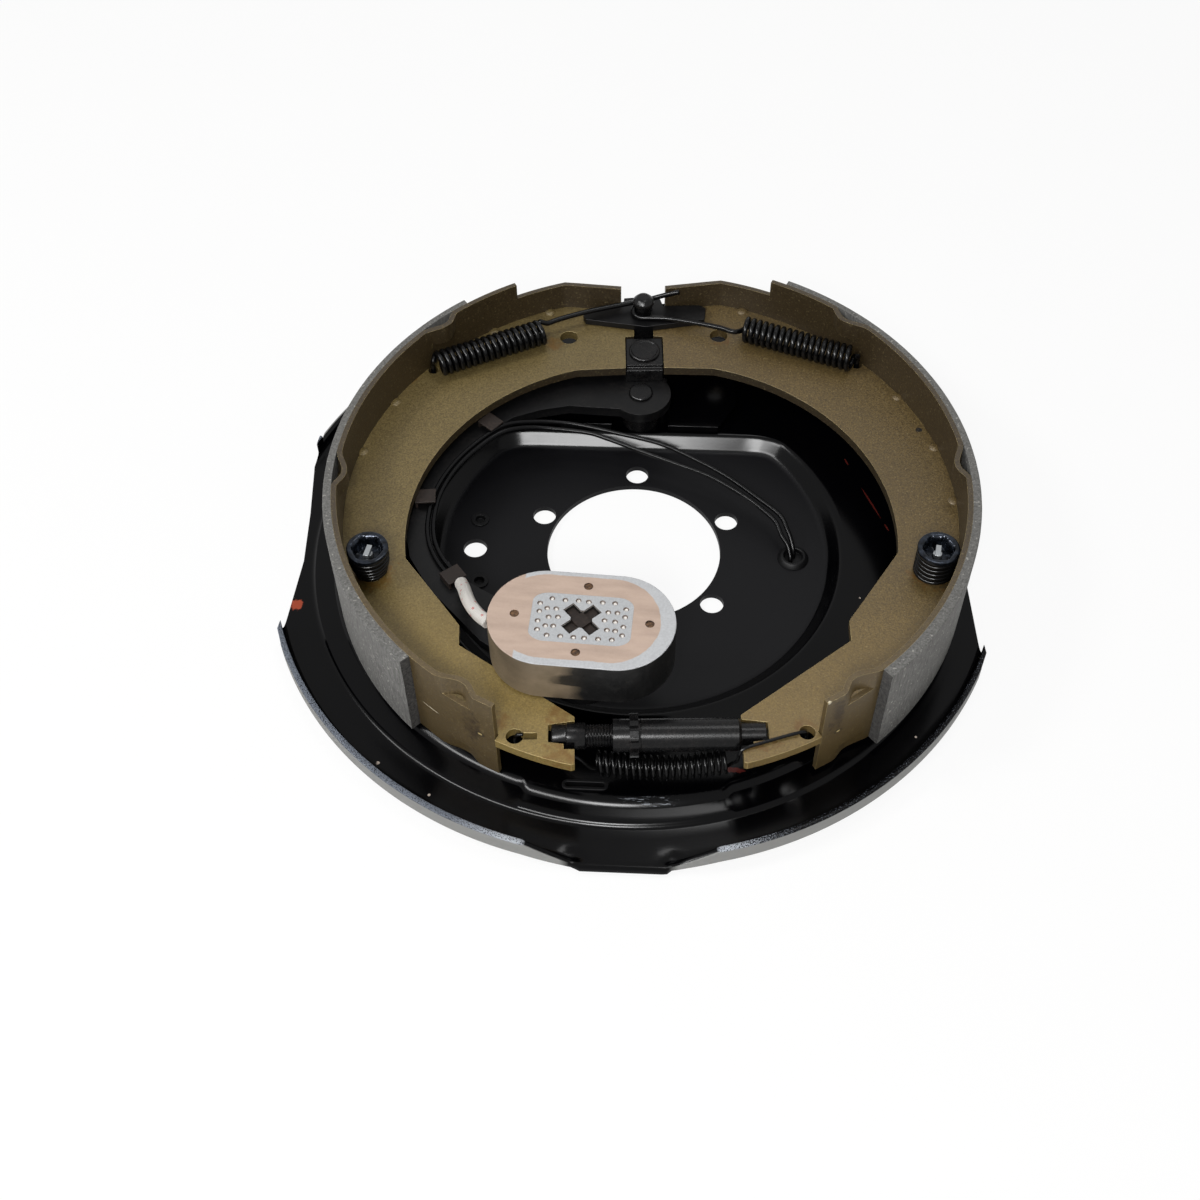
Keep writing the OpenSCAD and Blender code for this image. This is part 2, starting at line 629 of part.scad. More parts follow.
module left_shoe_web() {
    color("#7a6c48") difference() {
        on_shoes() slab(web_low, web_t) difference() {
            web_outline();
            translate([-keyhole[0], keyhole[1]]) circle(d = 7.4);
            translate([-keyhole[0], keyhole[1] - 1.6]) square([9.5, 3.2]);
        }
        at(hold_left, web_low - bite) cylinder(h = web_t + 2 * bite, d = hold_shoe_hole_d);
    }
}

module right_shoe_web() {
    color("#7a6c48") difference() {
        on_shoes() slab(web_low, web_t) difference() {
            mirror([1, 0]) web_outline();
            translate(hook_hole) circle(d = 7);
        }
        at(hold_right, web_low - bite) cylinder(h = web_t + 2 * bite, d = hold_shoe_hole_d + 1);
    }
}

// Places of the half-round nibs along the table
module at_nibs(z) {
    at([0, arc_y], z) for (a = nib_angles) rotate(a - 90) at([0, table_r + nib_out]) children();
}

// Rim of a shoe, narrower towards the anchor pin and with a straight last stretch
module shoe_table(side) {
    a0 = 90 + table_step_a;
    a1 = 270 - table_end_a;
    neck_z = web_z - table_neck_w / 2;
    neck_end = [-11.2, lining_r - 15.4];
    outer = arc_points([0, arc_y], table_r, 90 + 16, a0 + 0.2, 8);
    inner = arc_points([0, arc_y], web_r + 0.01, a0 + 0.2, 90 + 16, 8);
    mirror([side, 0, 0]) {
        difference() {
            translate([0, arc_y, shoe_low]) rotate(a0) rotate_extrude(angle = a1 - a0, $fn = 180)
                translate([web_r + 0.01, 0]) square([table_t - 0.01, lining_w]);
            at_nibs(shoe_top - nib_h) cylinder(h = nib_h + bite, r = nib_r);
        }
        // Half-round nibs pressed inwards at the upper edge
        at_nibs(shoe_top - nib_h) difference() {
            intersection() {
                cylinder(h = nib_h, r = nib_r + table_t);
                translate([-20, -20 - nib_out, 0]) cube([40, 20, nib_h]);
            }
            translate([0, 0, -bite]) cylinder(h = nib_h + 2 * bite, r = nib_r);
        }
        slab(neck_z, table_neck_w) polygon(concat([neck_end], outer, inner, [neck_end - [0, table_t]]));
    }
}

// Ground slightly off centre, so that the lining thins towards the anchor pin
module lining(side) {
    angles = lining_angles[side];
    intersection() {
        at([0, arc_y], shoe_low) rotate(angles[0]) rotate_extrude(angle = angles[1] - angles[0], $fn = 180)
            translate([table_r + 0.05, 0]) square([lining_t + 2, lining_w]);
        translate([lining_lean[0] * (1 - 2 * side), arc_y + lining_lean[1], shoe_low - bite])
            cylinder(h = lining_w + 2 * bite, r = lining_r, $fn = 180);
    }
}

module left_shoe_table() { color("#7a6c48") on_shoes() shoe_table(0); }
module right_shoe_table() { color("#7a6c48") on_shoes() shoe_table(1); }
module left_lining() { color("#77756f") on_shoes() lining(0); }
module right_lining() { color("#77756f") on_shoes() lining(1); }

// Nail with a flat head behind the plate and a flattened T end in the cup
module hold_down_pin(p) {
    color("#c9c9c4") at(p, 0) {
        translate([0, 0, ring_under - 4.4]) cylinder(h = 1.6, d = 9);
        translate([0, 0, ring_under - 3]) cylinder(h = cup_top - ring_under - 1, d = pin_d);
        translate([-3.2, -1.2, cup_top - 4.2]) cube([6.4, 2.4, 2.2]);
    }
}

// Coil under a cup: the left one tapers to its foot
module hold_down_spring(p, coil_foot_r) {
    top_r = cup_d / 2 - hold_wire / 2 - 0.1;
    low = web_top + hold_wire / 2 + 0.1;
    high = cup_top - 2.6 - hold_wire / 2;
    turns = 5;
    per = 16;
    coil = [for (i = [0:turns * per]) let (f = i / (turns * per), a = 360 * i / per,
        r = coil_foot_r + (top_r - coil_foot_r) * min(1, f * 1.5))
        [r * cos(a), r * sin(a), low + (high - low) * f]];
    color("#1a1a1c") at(p, 0) wire(coil, hold_wire);
}

// Dished cup with six notches round its slot
module hold_down_cup(p) {
    r = cup_d / 2;
    color("#1c1e22") at(p, cup_top - 7.4) difference() {
        rotate_extrude() polygon([[0, 0], [6.4, 0], [7, 1.2], [7.2, 5], [r, 5], [r, 7], [r - 0.5, 7.4],
            [7.4, 7.4], [5.9, 6], [5.7, 1.2], [0, 1.2]]);
        translate([0, 0, -bite]) cylinder(h = 4, d = pin_d + 0.4);
        for (a = [0:60:300]) rotate(a) translate([6.4, 0, 3.2]) cylinder(h = 6, r = 1.3, $fn = 24);
    }
}

module left_hold_down_pin() { hold_down_pin(hold_left); }
module right_hold_down_pin() { hold_down_pin(hold_right); }
module left_hold_down_spring() { hold_down_spring(hold_left, 6.2); }
module right_hold_down_spring() { hold_down_spring(hold_right, cup_d / 2 - hold_wire / 2 - 0.1); }
module left_hold_down_cup() { hold_down_cup(hold_left); }
module right_hold_down_cup() { hold_down_cup(hold_right); }

// Coil with a long arm to the anchor pin and a hook down through the web
function return_path(side, arm) =
    let (r = (return_d - return_wire) / 2, z = return_z, a = [side * return_in[0], return_in[1], z],
        b = [side * return_out[0], return_out[1], z], hole = [side * spring_hole[0], spring_hole[1]])
    concat(arm, helix(a, b, r, return_turns, 10, side < 0 ? 60 : -120, [0, 0, 1]),
        [[hole[0] - side * 2.2, hole[1] - 3.4, z + r * 0.4], [hole[0] - side * 0.4, hole[1] - 0.6, z - 1.5],
            [hole[0], hole[1], web_top + 0.5], [hole[0], hole[1], web_low - 1.6]]);

function post_loop(a0, a1, z) = let (r = neck_d / 2 + return_wire / 2 + 0.35)
    lifted(arc_points([0, anchor_y], r, a0, a1, 8), z);

module left_return_spring() {
    z = left_arm_z;
    tail = all_from_lining([[18.67, 82.159, z + 6.8], [18.51, 84.57, z + 4.6], [17.96, 87.407, z + 1.6]]);
    reach = all_from_lining([[21.24, 96.213, z], [23.02, 103.601, z], [24.1, 110.355, z],
        [24.68, 112.9, z]]);
    arm = concat(tail, post_loop(80, 118, z), reach);
    color("#1d1d1f") on_shoes() wire(return_path(-1, arm), return_wire);
}

module right_return_spring() {
    z = right_arm_z;
    reach = all_from_lining([[29.01, 84.336, z], [30.55, 77.492, z + 0.4], [31.95, 71.321, z + 1.4],
        [33.03, 66.968, z + 2]]);
    arm = concat(post_loop(40, 262, z), reach);
    color("#1d1d1f") on_shoes() wire(return_path(1, arm), return_wire);
}

// Everything on the adjuster's axis is turned about X
module on_adjuster(x) {
    on_shoes() translate([x, adjuster_y, web_z]) rotate([0, 90, 0]) children();
}

module adjusting_screw() {
    color("#202022") difference() {
        union() {
            on_adjuster(screw_end_x) cylinder(h = screw_collar_x - screw_end_x, d = fork_d);
            on_adjuster(screw_collar_x) cylinder(h = screw_thread_x - screw_collar_x, d = thread_d + 1.2);
            on_adjuster(screw_thread_x) cylinder(h = 19, d = thread_d);
        }
        on_shoes() translate([screw_end_x - bite, adjuster_y - 10, web_z - fork_slot / 2])
            cube([screw_collar_x - screw_end_x + bite + 3.5, 20, fork_slot]);
    }
}

// Threaded sleeve with the star wheel; its stem turns in the socket
module star_wheel() {
    stem_d = thread_d + 0.6;
    color("#29292b") difference() {
        union() {
            on_adjuster(sleeve_x) cylinder(h = socket_x - gap - sleeve_x, d = socket_d);
            on_adjuster(star_x) cylinder(h = star_w, d = star_d - 3.4);
            on_adjuster(socket_x - gap - 1) cylinder(h = 16, d = stem_d);
            on_adjuster(star_x) for (i = [0:star_teeth - 1]) rotate(360 * i / star_teeth)
                translate([star_d / 2 - 3.2, -1.3, 0]) cube([3, 2.6, star_w]);
        }
        on_adjuster(sleeve_x - bite) cylinder(h = 10.4, d = thread_d + 2 * turn_fit);
    }
}

module adjuster_socket() {
    color("#262628") difference() {
        union() {
            on_adjuster(socket_x) cylinder(h = socket_neck_x - socket_x - 1.2, d = socket_d);
            on_adjuster(socket_neck_x - 1.2) cylinder(h = 1.2, d1 = socket_d, d2 = socket_d - 2.4);
            on_adjuster(socket_neck_x) cylinder(h = socket_end_x - socket_neck_x, d = fork_d - 0.6);
        }
        on_adjuster(socket_x - bite) cylinder(h = 18, d = thread_d + 0.6 + 2 * turn_fit);
        on_shoes() translate([socket_neck_x + 0.6, adjuster_y - 10, web_z - fork_slot / 2])
            cube([20, 20, fork_slot]);
    }
}

// Long tension spring beside the adjuster, bowed outwards by the star wheel
module adjuster_spring() {
    per = 10;
    total = adjuster_turns * per;
    r = (adjuster_spring_d - adjuster_wire) / 2;
    under_a = 64;
    reach = (socket_d + adjuster_spring_d) / 2 + gap;
    bow = (star_d - socket_d) / 2 * 1.3;
    y0 = adjuster_y - reach * cos(under_a);
    z0 = web_z - reach * sin(under_a);
    x0 = -26.2;
    x1 = 29.2;
    coil = [for (i = [0:total]) let (f = i / total, a = -90 + 360 * i / per)
        [x0 + (x1 - x0) * f, y0 - bow * sin(180 * f) * cos(under_a) + r * cos(a),
            z0 - bow * sin(180 * f) * sin(under_a) + r * sin(a)]];
    key = [-keyhole[0], keyhole[1]];
    left_arm = [[key[0] + 3.4, key[1], web_top + 1.3], [key[0] + 0.8, key[1], web_top + 0.6],
        [key[0], key[1], web_low + 1], [key[0] + 2, key[1] - 0.4, web_low - 1.6],
        [key[0] + 8, key[1] - 1.6, web_low - 2], [-42, adjuster_y - 4.3, web_low - 2.4],
        [-34, adjuster_y - 5.5, web_low - 6], [-29, y0 - 0.4, z0 - r + 1.6]];
    right_arm = [[31, y0 - 2.4, z0 + 2], [32.8, y0 - 4.6, web_low - 2], [33.4, y0 - 4.8, web_top - 1],
        [35.4, adjuster_y - 9.3, web_top + 1.1], [42, adjuster_y - 7.1, web_top + 1.3],
        [52, adjuster_y - 3.9, web_top + 1.3], [hook_hole[0] - 2.7, hook_hole[1] - 0.6, web_top + 1.2],
        [hook_hole[0] - 0.4, hook_hole[1] - 0.1, web_top - 0.4], [hook_hole[0], hook_hole[1], web_low - 1.4]];
    color("#232325") on_shoes() wire(concat(left_arm, coil, right_arm), adjuster_wire);
}

module magnet_lead_a() { color("#101010") wire(lead_a, lead_d, 8); }
module magnet_lead_b() { color("#101010") wire(lead_b, lead_d, 8); }
module lead_sleeve() { color("#e6e2dc") wire(sleeve_path, sleeve_d, 12); }

backing_plate();
anchor_reinforcement();
anchor_pin();
shoe_guide_plate();
slot_plug();
hole_plugs();
lead_grommet();
lever_stud();
lever_arm();
actuating_block();
block_rivet();
lead_clips();
magnet_pin();
magnet_spring();
magnet_clip();
magnet_case();
magnet_core_plate();
magnet_rivets();
left_shoe_web();
left_shoe_table();
left_lining();
right_shoe_web();
right_shoe_table();
right_lining();
left_hold_down_pin();
left_hold_down_spring();
left_hold_down_cup();
right_hold_down_pin();
right_hold_down_spring();
right_hold_down_cup();
left_return_spring();
right_return_spring();
adjusting_screw();
star_wheel();
adjuster_socket();
adjuster_spring();
magnet_lead_a();
magnet_lead_b();
lead_sleeve();
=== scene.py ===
import json
import math
import random

import bmesh
import bpy
from mathutils import Matrix, Vector

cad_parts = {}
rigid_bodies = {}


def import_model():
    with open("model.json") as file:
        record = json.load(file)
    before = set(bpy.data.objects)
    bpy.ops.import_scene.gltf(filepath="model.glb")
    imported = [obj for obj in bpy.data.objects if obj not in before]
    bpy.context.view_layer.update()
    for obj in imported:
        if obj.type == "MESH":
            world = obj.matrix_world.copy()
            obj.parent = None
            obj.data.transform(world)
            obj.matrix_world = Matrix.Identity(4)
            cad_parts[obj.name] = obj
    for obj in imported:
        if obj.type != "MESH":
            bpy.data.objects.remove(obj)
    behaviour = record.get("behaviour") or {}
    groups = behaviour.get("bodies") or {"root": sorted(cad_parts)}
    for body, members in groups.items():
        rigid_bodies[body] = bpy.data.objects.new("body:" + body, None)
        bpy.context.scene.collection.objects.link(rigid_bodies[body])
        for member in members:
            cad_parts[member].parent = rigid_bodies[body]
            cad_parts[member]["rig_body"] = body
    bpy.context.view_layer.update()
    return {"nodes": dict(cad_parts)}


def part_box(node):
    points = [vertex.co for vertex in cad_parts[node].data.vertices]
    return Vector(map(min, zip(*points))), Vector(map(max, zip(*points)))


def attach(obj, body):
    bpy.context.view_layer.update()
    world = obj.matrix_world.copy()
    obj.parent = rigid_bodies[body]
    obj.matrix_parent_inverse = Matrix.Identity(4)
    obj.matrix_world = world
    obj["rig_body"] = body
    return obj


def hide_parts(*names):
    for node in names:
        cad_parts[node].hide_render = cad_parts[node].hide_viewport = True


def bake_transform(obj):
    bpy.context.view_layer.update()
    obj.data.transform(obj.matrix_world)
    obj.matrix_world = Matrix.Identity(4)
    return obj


# Lengths are in millimetres, and angles in degrees, until a point goes into a mesh.
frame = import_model()
nodes = frame["nodes"]
MM = 0.001

# Backing plate: sheet, dish, ring, floor and flange
sheet_t = 2.8
dish_r = 93.0
dish_top_y = 66.0
dish_wall_run = 6.6
ring_h = 9.4
ring_r = 143.5
foot_r = 156.0
floor_top = 4.4
plate_r = 174.0
flange_h = 13.1
flange_top_arc_h = 8.6
lip_y = 174.6

# Shoes, which lean about the anchor pin
anchor_y = 127.0
shoe_lean = 3.3
shoe_low = 9.7
shoe_top = 60.5
table_r = 145.5
table_t = 2.4
neck_angle = 116.7
table_end_angle = 242.0
lining_r = 150.6
arc_y = -1.0
web_top = 37.5
web_low = 32.7
nib_angles = (134.5, 178.8, 234.9)
nib_depth = 10.0
low_nib_share = 0.55
weld_spots = {"left": [(-121.1, 61.6), (-132.7, 27.4), (-48.1, 128.9), (-76.6, 114.8)],
              "right": [(52.0, 136.9), (128.0, 75.4), (144.0, 41.8), (150.5, 7.6)]}

# Springs, hold-downs and adjuster
guide_top = 41.2
return_z = 44.3
return_coil_r = 5.45
return_wire = 2.6
neck_r = 3.8
hold_down_at = {"left": (-117.2, -46.8), "right": (136, -36.2)}
cup_top = 55.4
cup_h = 7.4
cup_r = 9.4
hold_wire = 2.0
adjuster_y = -127.3
adjuster_z = 35.1
thread_pitch = 1.27

# Magnet
magnet_centre = (-19.4, -88.0)
magnet_turn = -3.0
magnet_half_run = 15.25
magnet_radius = 25.0
magnet_top = 62.6
magnet_low = 38.6
magnet_bore_r = 4.56


# Colours and shader nodes
def linear(code):
    """An sRGB hex colour as the linear one that a shader socket takes."""
    out = []
    for i in (1, 3, 5):
        c = int(code[i:i + 2], 16) / 255
        out.append(c / 12.92 if c <= 0.04045 else ((c + 0.055) / 1.055) ** 2.4)
    return (*out, 1.0)


def add(material, kind, inputs=(), out=0, **settings):
    """Adds one shader node with its settings and links, and gives one of its outputs. The kind may end with the
    node's operation. Its inputs are numbers, points, hex colours and outputs of other nodes, in the order of its
    sockets or by their names."""
    tree = material.node_tree
    kind, *operation = kind.split()
    node = tree.nodes.new("ShaderNode" + kind)
    if operation:
        node.operation = operation[0]
    for name, value in settings.items():
        setattr(node, name, value)
    for socket, value in inputs.items() if isinstance(inputs, dict) else enumerate(inputs):
        if isinstance(value, bpy.types.NodeSocket):
            tree.links.new(value, node.inputs[socket])
        else:
            node.inputs[socket].default_value = linear(value) if isinstance(value, str) else value
    return node.outputs[out]


def per(size):
    """Scale of a texture whose features are that many millimetres apart."""
    return 1 / (size * MM)


def mm(point):
    """A point in millimetres as one in metres."""
    return tuple(v * MM for v in point)


def bare(name):
    """A new material with nothing in it but its output."""
    material = bpy.data.materials.new(name)
    material.use_nodes = True
    material.node_tree.nodes.remove(material.node_tree.nodes["Principled BSDF"])
    return material


def finished(material, relief=None, depth=0.1, **sockets):
    """Closes a material with its shader, and with its relief that many millimetres deep."""
    values = {name.replace("_", " "): value for name, value in sockets.items()}
    if relief is not None:
        values["Normal"] = add(material, "Bump", {"Height": relief, "Distance": depth * MM})
    shader = add(material, "BsdfPrincipled", values)
    material.node_tree.links.new(shader, material.node_tree.nodes["Material Output"].inputs["Surface"])
    return material


def mottle(material, size, low=0.3, high=0.7, detail=3.0, place=None):
    """Uneven patches of a finish, that many millimetres across: 0 below low and 1 above high."""
    place = place or add(material, "TexCoord", out="Object")
    cloud = add(material, "TexNoise", {"Vector": place, "Scale": per(size), "Detail": detail})
    return add(material, "MapRange", (cloud, low, high))


def marks(material, spots, ragged=0.5, place=None):
    """1 on ragged marks and 0 off them. Each has a centre, and its reach along x, y and z."""
    place = place or add(material, "TexCoord", out="Object")
    torn = add(material, "TexNoise", {"Vector": place, "Scale": per(1.6), "Detail": 4.0})
    found = 0.0
    for centre, reach in spots:
        away = add(material, "VectorMath SUBTRACT", (place, mm(centre)))
        away = add(material, "VectorMath DIVIDE", (away, mm(reach)))
        far = add(material, "VectorMath LENGTH", (away,), "Value")
        far = add(material, "Math MULTIPLY_ADD", (torn, 2 * ragged, far))
        near = add(material, "MapRange", (far, 0.75 + ragged, 1.0 + ragged, 1.0, 0.0))
        found = add(material, "Math MAXIMUM", (found, near))
    return found


def layered(material, under, *layers):
    """A colour with others laid over it in turn, each of them as far as its mask says."""
    for mask, over in layers:
        under = add(material, "MixRGB", (mask, under, over))
    return under


# Materials
def black_lacquer_on_pressed_steel():
    """Deep-drawn steel dipped in black lacquer: near-black with hard highlights, and duller in the dish. The
    flange's edge has lost its lacquer at the front, its outside is light grey, stray red paint and scratches lie on
    the ring, and a highlight is painted at the right end of its bulge."""
    m = bare("black_lacquer_on_pressed_steel")
    place = add(m, "TexCoord", out="Object")
    x, _, z = add(m, "SeparateXYZ", (place,)).node.outputs
    radius = add(m, "VectorMath LENGTH", (add(m, "VectorMath MULTIPLY", (place, (1, 1, 0))),), "Value")
    aside = add(m, "Math ABSOLUTE", (x,))
    dish = add(m, "MapRange", (z, (sheet_t + 0.2) * MM, (sheet_t + 0.8) * MM, 1.0, 0.0))
    cloud = mottle(m, 38)
    # Edge of the flange: bare along the left, in a few bright chips at the right end of the lip, then whole
    high = add(m, "MapRange", (z, (flange_h - 0.9) * MM, (flange_h - 0.4) * MM))
    rim = add(m, "Math MULTIPLY", (high, add(m, "MapRange", (radius, 170.4 * MM, 171.0 * MM))))
    nicks = add(m, "TexNoise", {"Vector": place, "Scale": per(0.5), "Detail": 5.0})
    bared = add(m, "Math ADD", (nicks, add(m, "MapRange", (x, 76 * MM, 46 * MM, 0.0, 0.22))))
    chips = add(m, "Math MULTIPLY", (rim, add(m, "MapRange", (bared, 0.58, 0.74))))
    chip_grey = add(m, "MixRGB", (add(m, "MapRange", (aside, 72 * MM, 46 * MM)), "#6f757f", "#b4b9c0"))
    # Outside of the flange, light grey except at the lip, and its two cut ends
    outside = add(m, "MapRange", (radius, (plate_r - 0.8) * MM, (plate_r - 0.4) * MM))
    outside = add(m, "Math MULTIPLY", (outside, add(m, "MapRange", (aside, 21 * MM, 25 * MM))))
    outside = add(m, "Math MULTIPLY", (outside, add(m, "MapRange", (z, 12.6 * MM, 12.3 * MM))))
    ends = marks(m, [((x0, -69, 9.6), (9, 1.7, 4.6)) for x0 in (-164.5, 164.5)], 0.1)
    outside = add(m, "Math MAXIMUM", (outside, add(m, "Math MULTIPLY", (ends, 0.85))))
    # Scratches on the ring, and a painted highlight at the right end of its bulge
    drawn = add(m, "Mapping", (place, (0, 0, 0), (0, 0, math.radians(-18)), (0.1, 1.0, 1.0)))
    scratched = marks(m, [((12, -143.8, ring_h), (15, 2.6, 2.5))], 0.4)
    scratched = add(m, "Math MULTIPLY", (scratched, mottle(m, 0.55, 0.56, 0.66, place=drawn)))
    # Painted highlight: two thin pale streaks where the ring's bulge ends on the right
    painted_highlight_on_bulge = marks(m, [((47.5, -140.2, 9.2), (4.4, 0.6, 2)), ((52.6, -137.0, 9.2), (4.0, 0.5, 2))], 0.6)
    specks = marks(m, [(spot, (r, r, 1.0)) for spot, r in (
        ((-107.5, -126.9, floor_top), 0.9), ((-83.2, -142.0, floor_top), 0.7), ((128.5, -103.0, floor_top), 0.6),
        ((26.0, -122.0, ring_h), 0.6), ((-131.0, -60.0, ring_h), 0.7), ((107.0, -30.0, ring_h), 0.5))], 0.2)
    blob = marks(m, [((-157.8, -41.5, floor_top), (3.0, 3.4, 2.0))], 0.6)
    # The red line on the ring, along its own direction, and the red smear by the adjuster
    drip = add(m, "Mapping", (place, mm((115.5, 29.5, ring_h)), (0, 0, math.radians(-66.9))),
               vector_type="TEXTURE")
    line = marks(m, [((0, 0, 0), (11, 0.5, 2)), ((-29, 0.6, 0), (2.4, 0.5, 2)), ((17, 0, 0), (2.6, 0.5, 2))], 0.3,
                 drip)
    smear = marks(m, [((48.4, -126.7, ring_h), (4.2, 1.4, 2))], 0.9)
    colour = layered(
        m, "#020203", (dish, "#0d0d0f"), (outside, "#878785"), (specks, "#b9aca0"),
        (add(m, "Math MAXIMUM", (scratched, painted_highlight_on_bulge)), "#7d8187"), (chips, chip_grey),
        (add(m, "Math MAXIMUM", (line, smear)), "#4a1a16"), (blob, "#9c4630"))
    rough = add(m, "Math MULTIPLY_ADD", (cloud, 0.05, 0.14))
    rough = add(m, "Math MULTIPLY_ADD", (dish, 0.26, rough))
    rough = add(m, "Math MULTIPLY_ADD", (outside, 0.4, rough))
    relief = add(m, "Math SUBTRACT", (add(m, "Math MULTIPLY", (cloud, 0.2)), chips))
    return finished(m, relief, 0.06, Base_Color=colour, Roughness=rough, IOR=1.2)


def oiled_black(name, colour="#070708", worn="#191716", rough=0.38):
    """Formed or turned steel, phosphated black and oiled: a soft sheen, slightly mottled, browner where it is
    handled."""
    m = bare(name)
    fine = mottle(m, 1.4, 0.4, 0.75, 4.0)
    share = add(m, "Math MULTIPLY", (mottle(m, 9, 0.38, 0.72), fine))
    return finished(m, Base_Color=add(m, "MixRGB", (share, colour, worn)),
                    Roughness=add(m, "Math MULTIPLY_ADD", (fine, 0.05, rough - 0.02)), IOR=1.26)


def olive_gold_lacquer(name, light, dark, stain, tip, runs=(), welds=(), lines=(), pits=()):
    """Olive-gold lacquer baked on shot-blasted steel: a fine grain of pale and dark grit, drawn here 0.7 mm across
    so that it shows, lighter and more golden towards the lower tips, partly their own tone and partly painted
    light, with brown runs round holes and tips, and dark weld marks with a bright middle."""
    m = bare(name)
    grit = mottle(m, 0.7, 0.3, 0.7, 5.0)
    y = add(m, "SeparateXYZ", (add(m, "TexCoord", out="Object"),), 1)
    # Lighter and more golden towards the lower tips: partly the tips' own tone, partly painted light from the front
    low = add(m, "MapRange", (y, -35 * MM, -112 * MM, 0.0, 0.65))
    golden = add(m, "MixRGB", (grit, add(m, "MixRGB", (0.5, tip, dark)), tip))
    run = add(m, "Math MULTIPLY", (marks(m, runs, 0.8), mottle(m, 3.5, 0.3, 0.6)))
    colour = layered(
        m, add(m, "MixRGB", (grit, dark, light)),
        (add(m, "Math MULTIPLY", (mottle(m, 52, 0.3, 0.7, 2.0), 0.3)), dark), (low, golden),
        (add(m, "Math MULTIPLY", (mottle(m, 1.1, 0.6, 0.76, 2.0), 0.22)), "#b5a577"),
        (add(m, "Math MULTIPLY", (run, 0.75)), stain), (marks(m, pits, 0.3), "#120e08"),
        (marks(m, [(c, (2.6, 2.6, 1.6)) for c in welds], 0.35), "#2f2616"),
        (marks(m, [(c, (1.2, 1.2, 0.7)) for c in welds], 0.3), "#c0ab72"), (marks(m, lines, 0.12), "#c9bfa6"))
    return finished(m, grit, 0.05, Base_Color=colour, Metallic=0.15,
                    Roughness=add(m, "Math MULTIPLY_ADD", (grit, 0.14, 0.38)))


def sheared_edge():
    """Lacquer worn thin on a sheared edge: a pale gold line."""
    m = bare("lacquer_worn_thin_on_sheared_edge")
    colour = add(m, "MixRGB", (mottle(m, 5.0), "#94845a", "#b9a56e"))
    return finished(m, Base_Color=colour, Metallic=0.3, Roughness=0.34)


def moulded_lining():
    """Moulded friction material, ground on its outer face: grey with pale and dark flecks, and finely streaked
    across."""
    m = bare("moulded_friction_lining")
    drawn = add(m, "VectorMath MULTIPLY", (add(m, "TexCoord", out="Object"), (1.0, 1.0, 0.14)))
    streak = mottle(m, 0.8, place=drawn)
    dark = mottle(m, 1.1, 0.57, 0.67, 2.0)
    pale = mottle(m, 1.6, 0.63, 0.71, 2.0)
    colour = layered(m, add(m, "MixRGB", (streak, "#4b4a47", "#6e6d6a")),
                     (add(m, "Math MULTIPLY", (dark, 0.5)), "#42403c"),
                     (add(m, "Math MULTIPLY", (pale, 0.5)), "#b5b2ab"))
    relief = add(m, "Math SUBTRACT", (add(m, "Math MULTIPLY", (streak, 0.4)), dark))
    return finished(m, relief, 0.15, Base_Color=colour, Roughness=0.85)


def broken_lining():
    """Cut ends of the lining: darker and crumbly."""
    m = bare("broken_end_of_lining")
    crumbs = mottle(m, 1.4, 0.35, 0.65, 4.0)
    return finished(m, crumbs, 0.4, Base_Color=add(m, "MixRGB", (crumbs, "#1e1c1a", "#3d3b38")), Roughness=0.95)


